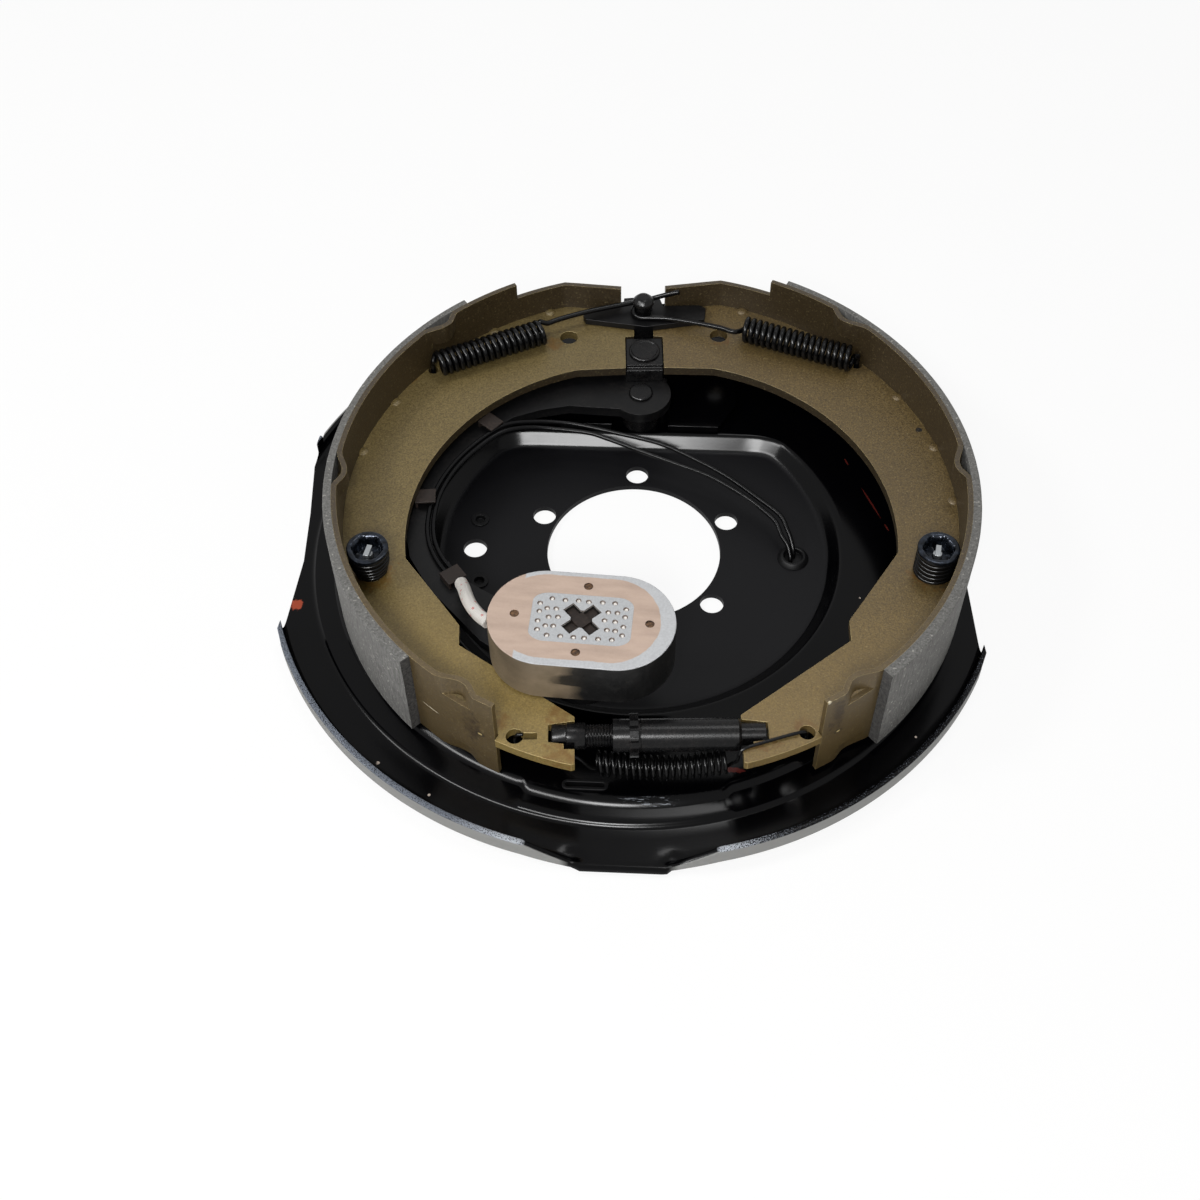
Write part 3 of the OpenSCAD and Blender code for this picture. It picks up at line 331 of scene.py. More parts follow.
def magnet_shell():
    """Rubbed copper-brown friction face with a bare steel border, wide at its right end and gone at its left, in a
    shell that is bare taupe at the left and sooty black at the right."""
    m = bare("rubbed_friction_face_in_steel_shell")
    own = add(m, "Mapping", (add(m, "TexCoord", out="Object"), mm((*magnet_centre, 0)),
                             (0, 0, math.radians(magnet_turn))), vector_type="TEXTURE")
    x, y, z = add(m, "SeparateXYZ", (own,)).node.outputs
    # Distance from the middle line of the long round-ended face, and from there the width of the border
    past = add(m, "Math SUBTRACT", (add(m, "Math ABSOLUTE", (x,)), magnet_half_run * MM))
    past = add(m, "Math MAXIMUM", (past, 0.0))
    out = add(m, "VectorMath LENGTH", (add(m, "CombineXYZ", (past, y)),), "Value")
    ahead = add(m, "Math MAXIMUM", (add(m, "Math SUBTRACT", (x, magnet_half_run * MM)), 0.0))
    wide = add(m, "Math MULTIPLY_ADD", (add(m, "Math DIVIDE", (ahead, out)), 3.7 * MM, 2.7 * MM))
    wide = add(m, "Math MULTIPLY_ADD", (y, -0.026, wide))
    wide = add(m, "Math MULTIPLY_ADD", (mottle(m, 4), 0.4 * MM, wide))
    inside = add(m, "Math SUBTRACT", (add(m, "Math SUBTRACT", (magnet_radius * MM, out)), wide))
    border = add(m, "MapRange", (inside, 0.2 * MM, -0.1 * MM))
    border = add(m, "Math MULTIPLY", (border, add(m, "MapRange", (x, -26.6 * MM, -26.1 * MM))))
    drawn = add(m, "VectorMath MULTIPLY", (own, (0.25, 1.0, 1.0)))
    smear = mottle(m, 4.5, 0.36, 0.72, 5.0, drawn)
    fine = mottle(m, 0.9, 0.3, 0.75)
    steel = add(m, "MixRGB", (fine, "#adaeb0", "#bcbec0"))
    face = layered(m, "#b9a292", (add(m, "Math MULTIPLY", (smear, 0.5)), "#937e6f"),
                   (add(m, "Math MULTIPLY", (fine, 0.12)), "#cdbbae"), (border, steel))
    # Sooty part of the side: it starts further left in a band 7 to 14 mm below the face
    band = add(m, "MapRange", (z, (magnet_top - 14) * MM, (magnet_top - 13) * MM, 0.0, 8.5 * MM))
    near = add(m, "MapRange", (z, (magnet_top - 8) * MM, (magnet_top - 5.6) * MM, 0.0, -5.0 * MM))
    edge = add(m, "Math ADD", (add(m, "Math ADD", (x, band)), near))
    edge = add(m, "Math MULTIPLY_ADD", (mottle(m, 5, 0.2, 0.8), 3.0 * MM, edge))
    sooty = add(m, "MixRGB", (mottle(m, 6, 0.5, 0.8), "#0b0b0b", "#222120"))
    on_face = add(m, "MapRange", (z, (magnet_top - 0.5) * MM, (magnet_top - 0.3) * MM))
    colour = layered(m, add(m, "MixRGB", (mottle(m, 9), "#80725f", "#685c4b")),
                     (add(m, "MapRange", (edge, -1.5 * MM, 4.5 * MM)), sooty), (on_face, face))
    return finished(m, smear, 0.04, Base_Color=colour, Metallic=0.1,
                    Roughness=add(m, "Math MULTIPLY_ADD", (fine, 0.12, 0.38)))


def sintered_core_steel():
    """Sintered steel core: matt, pale grey and finely pitted, brown down the steep side of a drilled dimple, a
    painted highlight at its bottom, and painted shade, nearly black, on the walls of the cross-shaped hole."""
    m = bare("sintered_core_steel")
    z = add(m, "SeparateXYZ", (add(m, "TexCoord", out="Object"),), 2)
    fine = mottle(m, 0.7)
    # By depth below the face: brown in the dimples, a painted highlight at their bottoms, painted shade down the
    # hole's walls
    layers = [(add(m, "MapRange", (z, (magnet_top - start) * MM, (magnet_top - end) * MM)), over)
              for start, end, over in ((0.05, 0.3, "#62544a"), (0.74, 0.8, "#dcd8d2"), (0.93, 1.1, "#1b1816"))]
    colour = layered(m, add(m, "MixRGB", (fine, "#a6a8aa", "#b6b8ba")), *layers)
    return finished(m, fine, 0.02, Base_Color=colour, Roughness=0.5)


def dulled_brass():
    """Brass rivets, dulled to brown, sunk in the friction face."""
    m = bare("dulled_brass")
    colour = add(m, "MixRGB", (mottle(m, 1.2, 0.4, 0.7), "#33241a", "#6e5238"))
    return finished(m, Base_Color=colour, Metallic=0.6, Roughness=0.5)


def bright_zinc_plate():
    """Bright zinc on a cold-headed pin or a coiled spring."""
    m = bare("bright_zinc_plate")
    return finished(m, Base_Color="#8f9294", Metallic=0.9,
                    Roughness=add(m, "Math MULTIPLY_ADD", (mottle(m, 2), 0.15, 0.3)))


def black_passivated_zinc():
    """Black passivated zinc on the stamped cups: blue-black with a hard shine."""
    m = bare("black_passivated_zinc")
    patch = mottle(m, 2.5, 0.35, 0.7)
    return finished(m, Base_Color=add(m, "MixRGB", (patch, "#0c0f14", "#262c36")), Metallic=0.7,
                    Roughness=add(m, "Math MULTIPLY_ADD", (patch, 0.12, 0.16)))


def moulded_black_rubber():
    """Moulded black rubber: matt, with a faint bloom."""
    m = bare("moulded_black_rubber")
    bloom = mottle(m, 4, 0.4, 0.8)
    colour = add(m, "MixRGB", (bloom, "#050506", "#0d0d0e"))
    return finished(m, bloom, 0.04, Base_Color=colour, Roughness=0.5, IOR=1.22)


def extruded_insulation():
    """Extruded black insulation on the leads: smooth, with a wet-looking shine."""
    m = bare("extruded_black_insulation")
    return finished(m, Base_Color="#050506", IOR=1.22,
                    Roughness=add(m, "Math MULTIPLY_ADD", (mottle(m, 6), 0.1, 0.2)))


def braided_glass_sleeve():
    """Braided glass sleeve: white threads, drawn 1.1 mm apart and crossing so that they show, with dotted red
    tracers."""
    m = bare("braided_glass_sleeve")
    uv = add(m, "UVMap", uv_map="along_and_round")
    along, around, _ = add(m, "SeparateXYZ", (uv,)).node.outputs
    wave = 2 * math.pi / 1.1
    right, left = (
        add(m, "Math SINE", (add(m, "Math MULTIPLY", (add(m, "Math " + way, (along, around)), wave)),))
        for way in ("ADD", "SUBTRACT"))
    threads = add(m, "Math MULTIPLY_ADD", (add(m, "Math MULTIPLY", (right, left)), 0.5, 0.5))
    tracer = add(m, "TexVoronoi", {"Vector": uv, "Scale": 0.34, "Randomness": 0.8}, "Distance")
    red = add(m, "Math MULTIPLY", (add(m, "MapRange", (tracer, 0.27, 0.17)),
                                   add(m, "MapRange", (threads, 0.3, 0.5))))
    colour = layered(m, "#cbc4bb", (threads, "#fbf8f3"), (red, "#d5655a"))
    return finished(m, threads, 0.3, Base_Color=colour, Roughness=0.75)


lacquer = black_lacquer_on_pressed_steel()
satin_black = oiled_black("oiled_black_phosphate_on_pressings")
spring_black = oiled_black("oiled_black_phosphate_on_spring_wire", "#060607", "#161615", 0.22)
turned_black = oiled_black("oiled_black_phosphate_on_turned_steel", "#0b0b0c", "#242120", 0.27)
clip_brown = oiled_black("browned_clip_steel", "#241e1b", "#3a302a", 0.45)
web_finish = {
    "left": olive_gold_lacquer(
        "olive_gold_lacquer_on_left_web", "#77673c", "#4c3e1e", "#69480f", "#957e42",
        [((-53.5, -124.5, web_top), (7, 5, 3)), ((-24, -139, 36), (10, 8, 4)), ((-28, -121, 36), (6, 6, 4)),
         ((-118, -47, web_top), (12, 11, 2)), ((-116, 78.5, web_top), (6, 5, 2)),
         ((-45, 106, web_top), (5, 5, 2))]),
    # Painted shade: the right web's lacquer is darker than the left's, as it lies away from the front-left light
    "right": olive_gold_lacquer(
        "olive_gold_lacquer_painted_shade_on_right_web", "#6b5830", "#3f3116", "#5c3d0d", "#806a3a",
        [((76, -121, web_top), (5, 4, 3)), ((56, -131, 36), (12, 4, 4)), ((136, -36, web_top), (12, 11, 2)),
         ((103, 98, web_top), (6, 5, 2)), ((40, 113, web_top), (5, 5, 2))],
        pits=[((136.3, 52.9, web_top), (1.8, 1.8, 1.8))])}
# The rims' lacquer is darker than the webs': painted shade on their inner faces
table_finish_painted_shade = olive_gold_lacquer(
    "olive_gold_lacquer_painted_shade_on_tables", "#42351b", "#281d0c", "#2e200c", "#685632",
    [((88, -121, 46), (5, 4, 13)), ((-63, -127, 38), (5, 5, 12))], [(-60.2, -129.6, 35.1), (90.3, -120.3, 33.3)],
    [((-83.2, -114.6, 31.2), (5.6, 5.6, 0.35)), ((83.9, -124.5, 60.2), (0.9, 0.9, 1.2))])
edge_line = sheared_edge()
# A darker lacquer, for painted shade on the webs' inner upright faces
inner_edge_painted_shade = olive_gold_lacquer("olive_gold_lacquer_painted_shade_on_inner_edge", "#3c3019", "#241b0b", "#241b0b", "#7a6230")
lining_face = moulded_lining()
lining_end = broken_lining()
shell = magnet_shell()
core_steel = sintered_core_steel()
rivet_brass = dulled_brass()
bright_zinc = bright_zinc_plate()
cup_zinc = black_passivated_zinc()
rubber = moulded_black_rubber()
insulation = extruded_insulation()
sleeve_braid = braided_glass_sleeve()


# Points and lines
def polar(a, radius, centre=(0, 0)):
    """The point at an angle in radians round a centre."""
    return (centre[0] + radius * math.cos(a), centre[1] + radius * math.sin(a))


def full_turn(steps):
    """Angles in radians of that many equal steps round a circle."""
    return [2 * math.pi * k / steps for k in range(steps)]


def arc(radius, first, last, steps, centre=(0, 0)):
    """Points along an arc, with both its ends."""
    return [polar(math.radians(first + (last - first) * i / steps), radius, centre) for i in range(steps + 1)]


def moved(p, degrees, place):
    """A point after it turns about the origin and goes to its place."""
    c, s = math.cos(math.radians(degrees)), math.sin(math.radians(degrees))
    return (place[0] + c * p[0] - s * p[1], place[1] + s * p[0] + c * p[1], *p[2:])


def on_shoes(p):
    """A point of the upright shoes, after they lean about the anchor pin."""
    return moved((p[0], p[1] - anchor_y, *p[2:]), shoe_lean, (0, anchor_y))


def on_magnet(p):
    """A point of a magnet at the hub, after it goes to its place."""
    return moved(p, magnet_turn, magnet_centre)


def unit(v):
    return v / v.length


def ease(u):
    """0 below 0, 1 above 1, and a smooth rise between them."""
    u = min(max(u, 0.0), 1.0)
    return u * u * (3 - 2 * u)


def soft_min(a, b, blend):
    """The smaller of two numbers, rounded off where they meet."""
    near = max(blend - abs(a - b), 0.0) / blend
    return min(a, b) - near * near * blend / 4


def curved(path, steps):
    """The same path with a smooth curve through its points."""
    p = [Vector(q) for q in path]
    p = [2 * p[0] - p[1]] + p + [2 * p[-1] - p[-2]]
    out = []
    for i in range(1, len(p) - 2):
        for k in range(steps):
            t = k / steps
            out.append(0.5 * (2 * p[i] + (p[i + 1] - p[i - 1]) * t
                              + (2 * p[i - 1] - 5 * p[i] + 4 * p[i + 1] - p[i + 2]) * t * t
                              + (3 * p[i] - p[i - 1] - 3 * p[i + 1] + p[i + 2]) * t ** 3))
    out.append(p[-2])
    return out


def helix(a, b, radius, turns, steps, start, up=(0, 0, 1)):
    """Points of a coil from a to b."""
    a, b, up = Vector(a), Vector(b), Vector(up)
    u = unit(b - a)
    v = unit(up - up.dot(u) * u)
    w = u.cross(v)
    n = round(turns * steps)
    return [a + (b - a) * i / n + radius * (math.cos(q) * v + math.sin(q) * w)
            for i in range(n + 1) for q in (math.radians(start + 360 * i / steps),)]


# Meshes
def mesh_of(name, points, faces):
    """A mesh from points in millimetres."""
    mesh = bpy.data.meshes.new(name)
    mesh.from_pydata([mm(p) for p in points], [], faces)
    mesh.validate()
    return mesh


def tidy(mesh, reach=1e-7):
    """Joins doubled points and turns every face outwards."""
    work = bmesh.new()
    work.from_mesh(mesh)
    bmesh.ops.remove_doubles(work, verts=work.verts, dist=reach)
    bmesh.ops.dissolve_degenerate(work, edges=work.edges, dist=reach)
    bmesh.ops.recalc_face_normals(work, faces=work.faces)
    work.to_mesh(mesh)
    work.free()
    return mesh


def joined(name, sections, loop=True, ring=True, reach=1e-7):
    """A mesh over sections of equally many points. A section is a closed loop, unless loop is false. The last one
    joins the first, unless ring is false: then the two ends are closed."""
    n, count = len(sections[0]), len(sections)
    faces = []
    for k in range(count if ring else count - 1):
        j = (k + 1) % count
        faces += [(k * n + i, j * n + i, j * n + (i + 1) % n, k * n + (i + 1) % n)
                  for i in range(n if loop else n - 1)]
    if not ring:
        faces += [tuple(range(n)), tuple(range(count * n - 1, (count - 1) * n - 1, -1))]
    return tidy(mesh_of(name, [p for section in sections for p in section], faces), reach)


def turned(name, profile, centre=(0, 0), steps=96):
    """A turned piece from its profile of (radius, height), closed on its axis."""
    sections = [[(*polar(a, r, centre), z) for r, z in profile] for a in full_turn(steps)]
    return joined(name, sections, loop=False)


def prism(name, outline, low, high):
    """A block with that outline from one height to another."""
    n = len(outline)
    points = [(x, y, h) for h in (low, high) for x, y in outline]
    faces = [tuple(range(n)), tuple(range(2 * n - 1, n - 1, -1))]
    faces += [(i, (i + 1) % n, n + (i + 1) % n, n + i) for i in range(n)]
    return tidy(mesh_of(name, points, faces))


def disc(centre, radius, low, high, steps=64):
    return prism("disc", [polar(a, radius, centre) for a in full_turn(steps)], low, high)


def round_wire(name, path, diameter, sides=10, ends=True):
    """A wire or lead along a path, its ends rounded over, with its length and girth as a UV map."""
    path = [Vector(p) for p in path]
    r = diameter / 2
    radii = [r] * len(path)
    if ends:
        first, last = unit(path[1] - path[0]), unit(path[-1] - path[-2])
        for share, step in ((0.25, 0.1), (0.6, 0.15), (0.97, 0.15)):
            path = [path[0] - first * r * step, *path, path[-1] + last * r * step]
            radii = [r * math.sqrt(1 - share * share), *radii, r * math.sqrt(1 - share * share)]
    side = Vector((0.3, 0.2, 1.0))
    points, along, far = [], [], 0.0
    for i, (p, radius) in enumerate(zip(path, radii)):
        before = path[max(i - 1, 0)]
        travel = unit(path[min(i + 1, len(path) - 1)] - before)
        side = unit(side - side.dot(travel) * travel)
        other = travel.cross(side)
        far += (p - before).length
        along.append(far)
        points += [p + radius * (math.cos(a) * side + math.sin(a) * other) for a in full_turn(sides)]
    faces = [(i + k, i + (k + 1) % sides, i + sides + (k + 1) % sides, i + sides + k)
             for i in range(0, len(points) - sides, sides) for k in range(sides)]
    faces += [tuple(range(sides - 1, -1, -1)), tuple(range(len(points) - sides, len(points)))]
    mesh = mesh_of(name, points, faces)
    chart = mesh.uv_layers.new(name="along_and_round")
    girth = math.pi * diameter
    for polygon in mesh.polygons:
        ks = [mesh.loops[i].vertex_index % sides for i in polygon.loop_indices]
        wraps = max(ks) == sides - 1 and min(ks) == 0
        for i in polygon.loop_indices:
            ring, k = divmod(mesh.loops[i].vertex_index, sides)
            k += sides if wraps and k == 0 else 0
            chart.data[i].uv = (along[ring], girth * k / sides)
    return mesh


def cut(mesh, cutters, operation="DIFFERENCE"):
    """The mesh after each cutter has been taken out of it, or joined to it."""
    body = bpy.data.objects.new("cut_body", mesh)
    bpy.context.scene.collection.objects.link(body)
    tools = []
    for i, c in enumerate(cutters):
        tool = bpy.data.objects.new(f"cutter_{i}", c)
        bpy.context.scene.collection.objects.link(tool)
        way = body.modifiers.new(f"cut_{i}", "BOOLEAN")
        way.operation, way.solver, way.object = operation, "MANIFOLD", tool
        tools.append(tool)
    bpy.context.view_layer.update()
    done = bpy.data.meshes.new_from_object(body.evaluated_get(bpy.context.evaluated_depsgraph_get()))
    done.materials.clear()
    for polygon in done.polygons:
        polygon.material_index = 0
    for o in [body, *tools]:
        bpy.data.objects.remove(o)
    return done


# Pieces
def shown(node, mesh, materials, sharp):
    """Puts a mesh in the scene as the piece that stands for a CAD node."""
    for m in materials:
        mesh.materials.append(m)
    for polygon in mesh.polygons:
        polygon.use_smooth = True
    mesh.set_sharp_from_angle(angle=math.radians(sharp))
    made = bpy.data.objects.new(node + "_made", mesh)
    bpy.context.scene.collection.objects.link(made)
    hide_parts(node)
    return made


def piece(node, mesh, materials, sharp):
    """A rigid piece, which rides on the body of its CAD node."""
    made = shown(node, mesh, materials, sharp)
    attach(made, nodes[node]["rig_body"])
    return made


def stretched(node, mesh, finish=spring_black):
    """A sprung or soft piece that hangs between two bodies."""
    made = shown(node, mesh, [finish], 60)
    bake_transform(made)
    return made


def settled(made, sharp):
    """Applies a piece's modifiers."""
    bpy.context.view_layer.update()
    mesh = bpy.data.meshes.new_from_object(made.evaluated_get(bpy.context.evaluated_depsgraph_get()))
    made.modifiers.clear()
    made.data = mesh
    if sharp:
        mesh.set_sharp_from_angle(angle=math.radians(sharp))
    return made


def flattened(made):
    """Keeps flat faces flat beside their rounded edges."""
    way = made.modifiers.new("flat_faces", "WEIGHTED_NORMAL")
    way.weight, way.keep_sharp = 90, True
    return settled(made, 0)


def rounded_edges(made, width, edge=0):
    """Rounds a piece's sharp edges. The rounding takes the material with the number edge."""
    way = made.modifiers.new("rounding", "BEVEL")
    way.width, way.segments, way.material = width * MM, 2, edge
    way.limit_method, way.angle_limit = "ANGLE", math.radians(40)
    return flattened(settled(made, 38))


def softened(node, radius, materials, edge=0, extra=None):
    """A copy of a CAD node with its edges rounded and its faces kept flat. The rounding takes the material with the
    number edge, and extra changes the shape last."""
    work = bmesh.new()
    work.from_mesh(nodes[node].data)
    bmesh.ops.remove_doubles(work, verts=work.verts, dist=2e-6)
    bmesh.ops.dissolve_limit(work, angle_limit=math.radians(0.6), verts=work.verts, edges=work.edges)
    for face in work.faces:
        face.material_index = 0
    limit = math.radians(35)
    sharp = [e for e in work.edges if len(e.link_faces) == 2 and e.calc_face_angle(0.0) > limit]
    bmesh.ops.bevel(work, geom=sharp, offset=radius * MM, offset_type="OFFSET", segments=2, profile=0.5,
                    affect="EDGES", clamp_overlap=True, material=edge, loop_slide=True)
    if extra:
        extra(work)
    mesh = bpy.data.meshes.new(node + "_softened")
    work.to_mesh(mesh)
    work.free()
    return flattened(piece(node, mesh, materials, 40))


# Backing plate
def plate_skin(a):
    """Radius and height down the drum side of the plate at one angle round the hub, out to the flange's foot."""
    c, s = math.cos(a), math.sin(a)
    low, high = dish_r, dish_r + dish_wall_run
    if s > 0.1:
        # The dish is cut straight across at the top
        low = soft_min(low, dish_top_y / s, 7.0)
        high = soft_min(high, (dish_top_y + dish_wall_run) / s, 9.0)
    soft = 0.9
    line = [(41.9, sheet_t), (60.0 if low > 64 else low - 5, sheet_t), (low - soft - 1.2, sheet_t)]
    for i in range(13):
        u = i / 12
        # A flat 45 degree wall between two short bends
        end = min(u, 1 - u)
        rise = 1.27 * end - 0.135 if end > 0.25 else 0.1825 * (end / 0.25) ** 1.74
        rise = rise if u < 0.5 else 1 - rise
        line.append((low - soft + (high - low + 2 * soft) * u, sheet_t + (ring_h - sheet_t) * rise))
    line.append((high + soft + 1.5, ring_h))
    x = ring_r * c
    bulge = 2.3 * ease((x + 44.5) / 4) * ease((47.5 - x) / 4) if s < 0 else 0.0
    edge = ring_r + bulge
    line.append(((high + soft + edge) / 2, ring_h))
    # The ring rolls over on a wide bend, and its foot is a crease, and each catches one line of light
    slope = [(-5.0, 0.0), (-3.61, -0.12), (-2.26, -0.48), (-1.0, -1.07), (-0.07, -1.7), (0.66, -2.34),
             (0.9, -2.58), (4.2, -2.95), (6.6, -3.25)]
    line += [(edge + r, ring_h + z) for r, z in slope]
    crease = [(-2.6, 1.41), (-2.07, 0.88), (-1.63, 0.51), (-1.07, 0.22), (-0.52, 0.06), (0.05, 0.0)]
    line += [(foot_r + r, floor_top + z) for r, z in crease]
    line += [(r, floor_top) for r in (160.0, 162.5, 164.5, 166.2)]
    return line


def plate_section(a):
    """The whole closed section of the plate at one angle."""
    c, s = math.cos(a), math.sin(a)
    skin = plate_skin(a)
    wall, low, x = plate_r - sheet_t, floor_top - sheet_t, plate_r * c
    # At the bottom the flange falls away in two straight ramps to a flat lip with a rounded edge
    tall = 1.0 if s > 0 else min(max((-20 - x) / 22, (x - 23) / 20, 0.0), 1.0)
    top = floor_top + 0.1 + (flange_h - floor_top - 0.1) * tall
    share = (top - floor_top) / (flange_h - floor_top)
    rim = [(r, floor_top + z * share) for r, z in arc(2.6, -90, 0, 4, (wall - 2.6, 2.6))]
    rim += [(wall, floor_top + (z - floor_top) * share) for z in (9.6, 12.45)]
    soft = 0.62 + 0.9 * (1 - tall)
    rim += [(wall + 0.2, top - 0.2 * share), (wall + 0.62, top), (plate_r - soft, top),
            (plate_r - 0.29 * soft, top - 0.29 * soft), (plate_r, top - soft)]
    side = (top - soft - low) / (flange_h - 0.62 - low)
    rim.append((plate_r, low + (flange_top_arc_h - low) * side))
    rim += [(r, low + z * side) for r, z in arc(3.6, 0, -90, 5, (plate_r - 3.6, 3.6))]
    back = [(r, z - sheet_t) for r, z in reversed(skin)]
    reach = plate_r
    if s < 0:
        straight = ease((x + 19.5) / 3) * ease((22.5 - x) / 3)
        reach += straight * max(0.0, lip_y / abs(s) - plate_r)
    inner = foot_r + 1
    out = []
    for r, z in skin + rim + back:
        if r > inner:
            r = inner + (r - inner) * (reach - inner) / (plate_r - inner)
            # Two dents inside the corners of the lip
            for spot in (-20.4, 22.8):
                if z > low + 0.5:
                    z -= 1.3 * math.exp(-((r * c - spot) / 3.6) ** 2 - ((r * s + 168.2) / 2.4) ** 2)
        out.append((r, z))
    return out


def backing_plate():
    sections = [[(*polar(a, r), z) for r, z in plate_section(a)] for a in full_turn(540)]
    mesh = joined("backing_plate_pressing", sections)
    under, over = -5, 30
    flank = [(-160, 73), (-163.4, 46), (-160.5, 15), (-158.8, -15), (-161.5, -58), (-162, -62), (-159, -70.3),
             (-200, -88), (-200, 73)]
    low_flange = [(-200, 60), *arc(160, 158, 22, 40), (200, 60), (200, 220), (-200, 220)]
    cutters = [prism(name, outline, low, over) for name, outline, low in (
        ("left_flank", flank, under), ("right_flank", [(-x, y) for x, y in reversed(flank)], under),
        ("top_edge", [(-200, 171), (200, 171), (200, 220), (-200, 220)], under),
        ("low_flange", low_flange, flange_top_arc_h))]
    holes = [(polar(math.radians(a), 49.2), 5.6) for a in (90, 24.5, 155.5, -39.3, 219.3)]
    holes += [((-77, -2), 5.7), ((77, -2), 5.7), ((-76.3, 16.1), 3.4), ((-73.1, -22.6), 3.4),
              (hold_down_at["left"], 3.5), (hold_down_at["right"], 3.5), ((0, anchor_y), 8), ((0.4, 81.5), 6)]
    cutters += [disc(centre, radius, under, over) for centre, radius in holes]
    slot = arc(2.5, -90, 90, 12, (-8.5, -137.2)) + arc(2.5, 90, 270, 12, (-23.5, -137.2))
    cutters.append(prism("slot", slot, under, over))
    return piece("backing_plate", cut(mesh, cutters), [lacquer], 30)


# Shoes
def nib(run, share):
    """How far a nib is pressed in, at a distance along the rim from its middle towards the shoe's lower end. The
    share is 0 at its slit, where it is a short lens, and 1 at the rim's edge, where it runs out slowly at one
    end."""
    lens = 3.8 * ease(1 - abs(run + 0.7) / 7.4) ** 0.7
    wave = 4.0 * (ease(1 + run / 13) if run < 0 else ease(1 - (run - 1) / 8.5))
    return lens + (wave - lens) * share


def shoe_table(side):
    """Rolled rim of a shoe: full width up to the neck, with nibs slit and pressed in at both its edges."""
    # Places along the rim, each with its outward direction, and its angle where nibs can be
    track = [((-11.2, 135.2), (0.1, 1.0), None), ((-18, 136.1), (-0.1, 1.0), None),
             ((-25, 137.0), (-0.14, 1.0), None), ((-32.5, 138.0), (-0.2, 1.0), None)]
    a = 106.0
    angles = [neck_angle - 0.01, neck_angle + 0.01, table_end_angle]
    while a < table_end_angle:
        angles.append(a)
        a += 0.3 if min(abs(a - n) for n in nib_angles) < 6 else 1.0
    for a in sorted(angles):
        u = polar(math.radians(a), 1.0)
        track.append(((table_r * u[0], arc_y + table_r * u[1]), u, a))
    # Heights across the rim, each with the nib's share there, or none between the slits, and how deep it goes
    slit = (shoe_low + nib_depth, shoe_top - nib_depth)
    low = low_nib_share
    rows = [(shoe_low, 1.0, low), (14.0, 0.55, low), (18.2, 0.15, low), (slit[0], 0.0, low), (slit[0], None, low),
            (24.0, None, low), (30.0, None, low), (35.1, None, low), (40.0, None, low), (45.0, None, low),
            (slit[1], None, low), (slit[1], 0.0, 1), (52.0, 0.15, 1), (54.5, 0.4, 1), (57.5, 0.7, 1),
            (shoe_top, 1.0, 1)]
    mirror = 1 if side == "left" else -1
    points = []
    for p, u, a in track:
        length = math.hypot(*u)
        for z, share, depth in rows:
            dent = 0.0
            if share is not None and a is not None:
                runs = [math.radians(a - n) * table_r * (1 if n > 170 else -1) for n in nib_angles]
                dent = max(nib(run, share) for run in runs) * depth
            x, y = p[0] - dent * u[0] / length, p[1] - dent * u[1] / length
            points.append((*on_shoes((x * mirror, y)), z))
    n = len(rows)
    faces = []
    for i in range(len(track) - 1):
        neck = track[i + 1][2] is None or track[i + 1][2] < neck_angle
        for j in range(n - 1):
            low_z, high_z = rows[j][0], rows[j + 1][0]
            if low_z == high_z or neck and (low_z < 18.1 or high_z > 52.1):
                continue
            loop = (i * n + j, (i + 1) * n + j, (i + 1) * n + j + 1, i * n + j + 1)
            faces.append(loop if side == "left" else loop[::-1])
    mesh = mesh_of(f"{side}_table_rim", points, faces)
    work = bmesh.new()
    work.from_mesh(mesh)
    bmesh.ops.remove_doubles(work, verts=work.verts, dist=1e-6)
    bmesh.ops.delete(work, geom=[v for v in work.verts if not v.link_faces], context="VERTS")
    work.to_mesh(mesh)
    work.free()
    made = piece(f"{side}_shoe_table", mesh, [table_finish_painted_shade, edge_line], 32)
    middle = mesh.polygons[len(mesh.polygons) // 2]
    inward = 1 if middle.normal.xy.dot(middle.center.xy) > 0 else -1
    thick = made.modifiers.new("thickness", "SOLIDIFY")
    thick.thickness, thick.offset, thick.use_even_offset = table_t * MM, -inward, True
    return rounded_edges(made, 0.28, 1)


def lining(side):
    """Lining: a slice of ring, ground slightly off centre, with crumbly ends."""
    first, last = (127.5, 224.6) if side == "left" else (-50.3, 60.4)
    off = (1.4 if side == "left" else -1.4, -1.2)
    draw = random.Random(11 if side == "left" else 12)
    n = 96
    zs = [shoe_low + 0.45 + (shoe_top - shoe_low - 0.9) * k / 16 for k in range(17)]
    ends = {k: [draw.uniform(-0.35, 0.1) for _ in range(24)] for k in (0, n)}
    sections = []
    for k in range(n + 1):
        a = math.radians(first + (last - first) * k / n)
        along = off[0] * math.cos(a) + off[1] * math.sin(a)
        r = along + math.sqrt(lining_r ** 2 - off[0] ** 2 - off[1] ** 2 + along * along)
        outline = [(table_r + 0.05, shoe_low), (r - 0.45, shoe_low)] + [(r, z) for z in zs]
        outline += [(r - 0.45, shoe_top), (table_r + 0.05, shoe_top)]
        section = []
        for i, (radius, z) in enumerate(outline):
            rough = draw.uniform(-0.05, 0.0) if 1 < i < len(outline) - 2 else 0.0
            slip = ends[k][i] / r * (1 if k == 0 else -1) if k in ends else 0.0
            section.append(on_shoes((*polar(a - slip, radius + rough, (0, arc_y)), z)))
        sections.append(section)
    mesh = joined(f"{side}_lining_block", sections, ring=False)
    made = piece(f"{side}_lining", mesh, [lining_face, lining_end], 30)
    for polygon in mesh.polygons:
        if len(polygon.vertices) > 4:
            polygon.material_index = 1
    return made


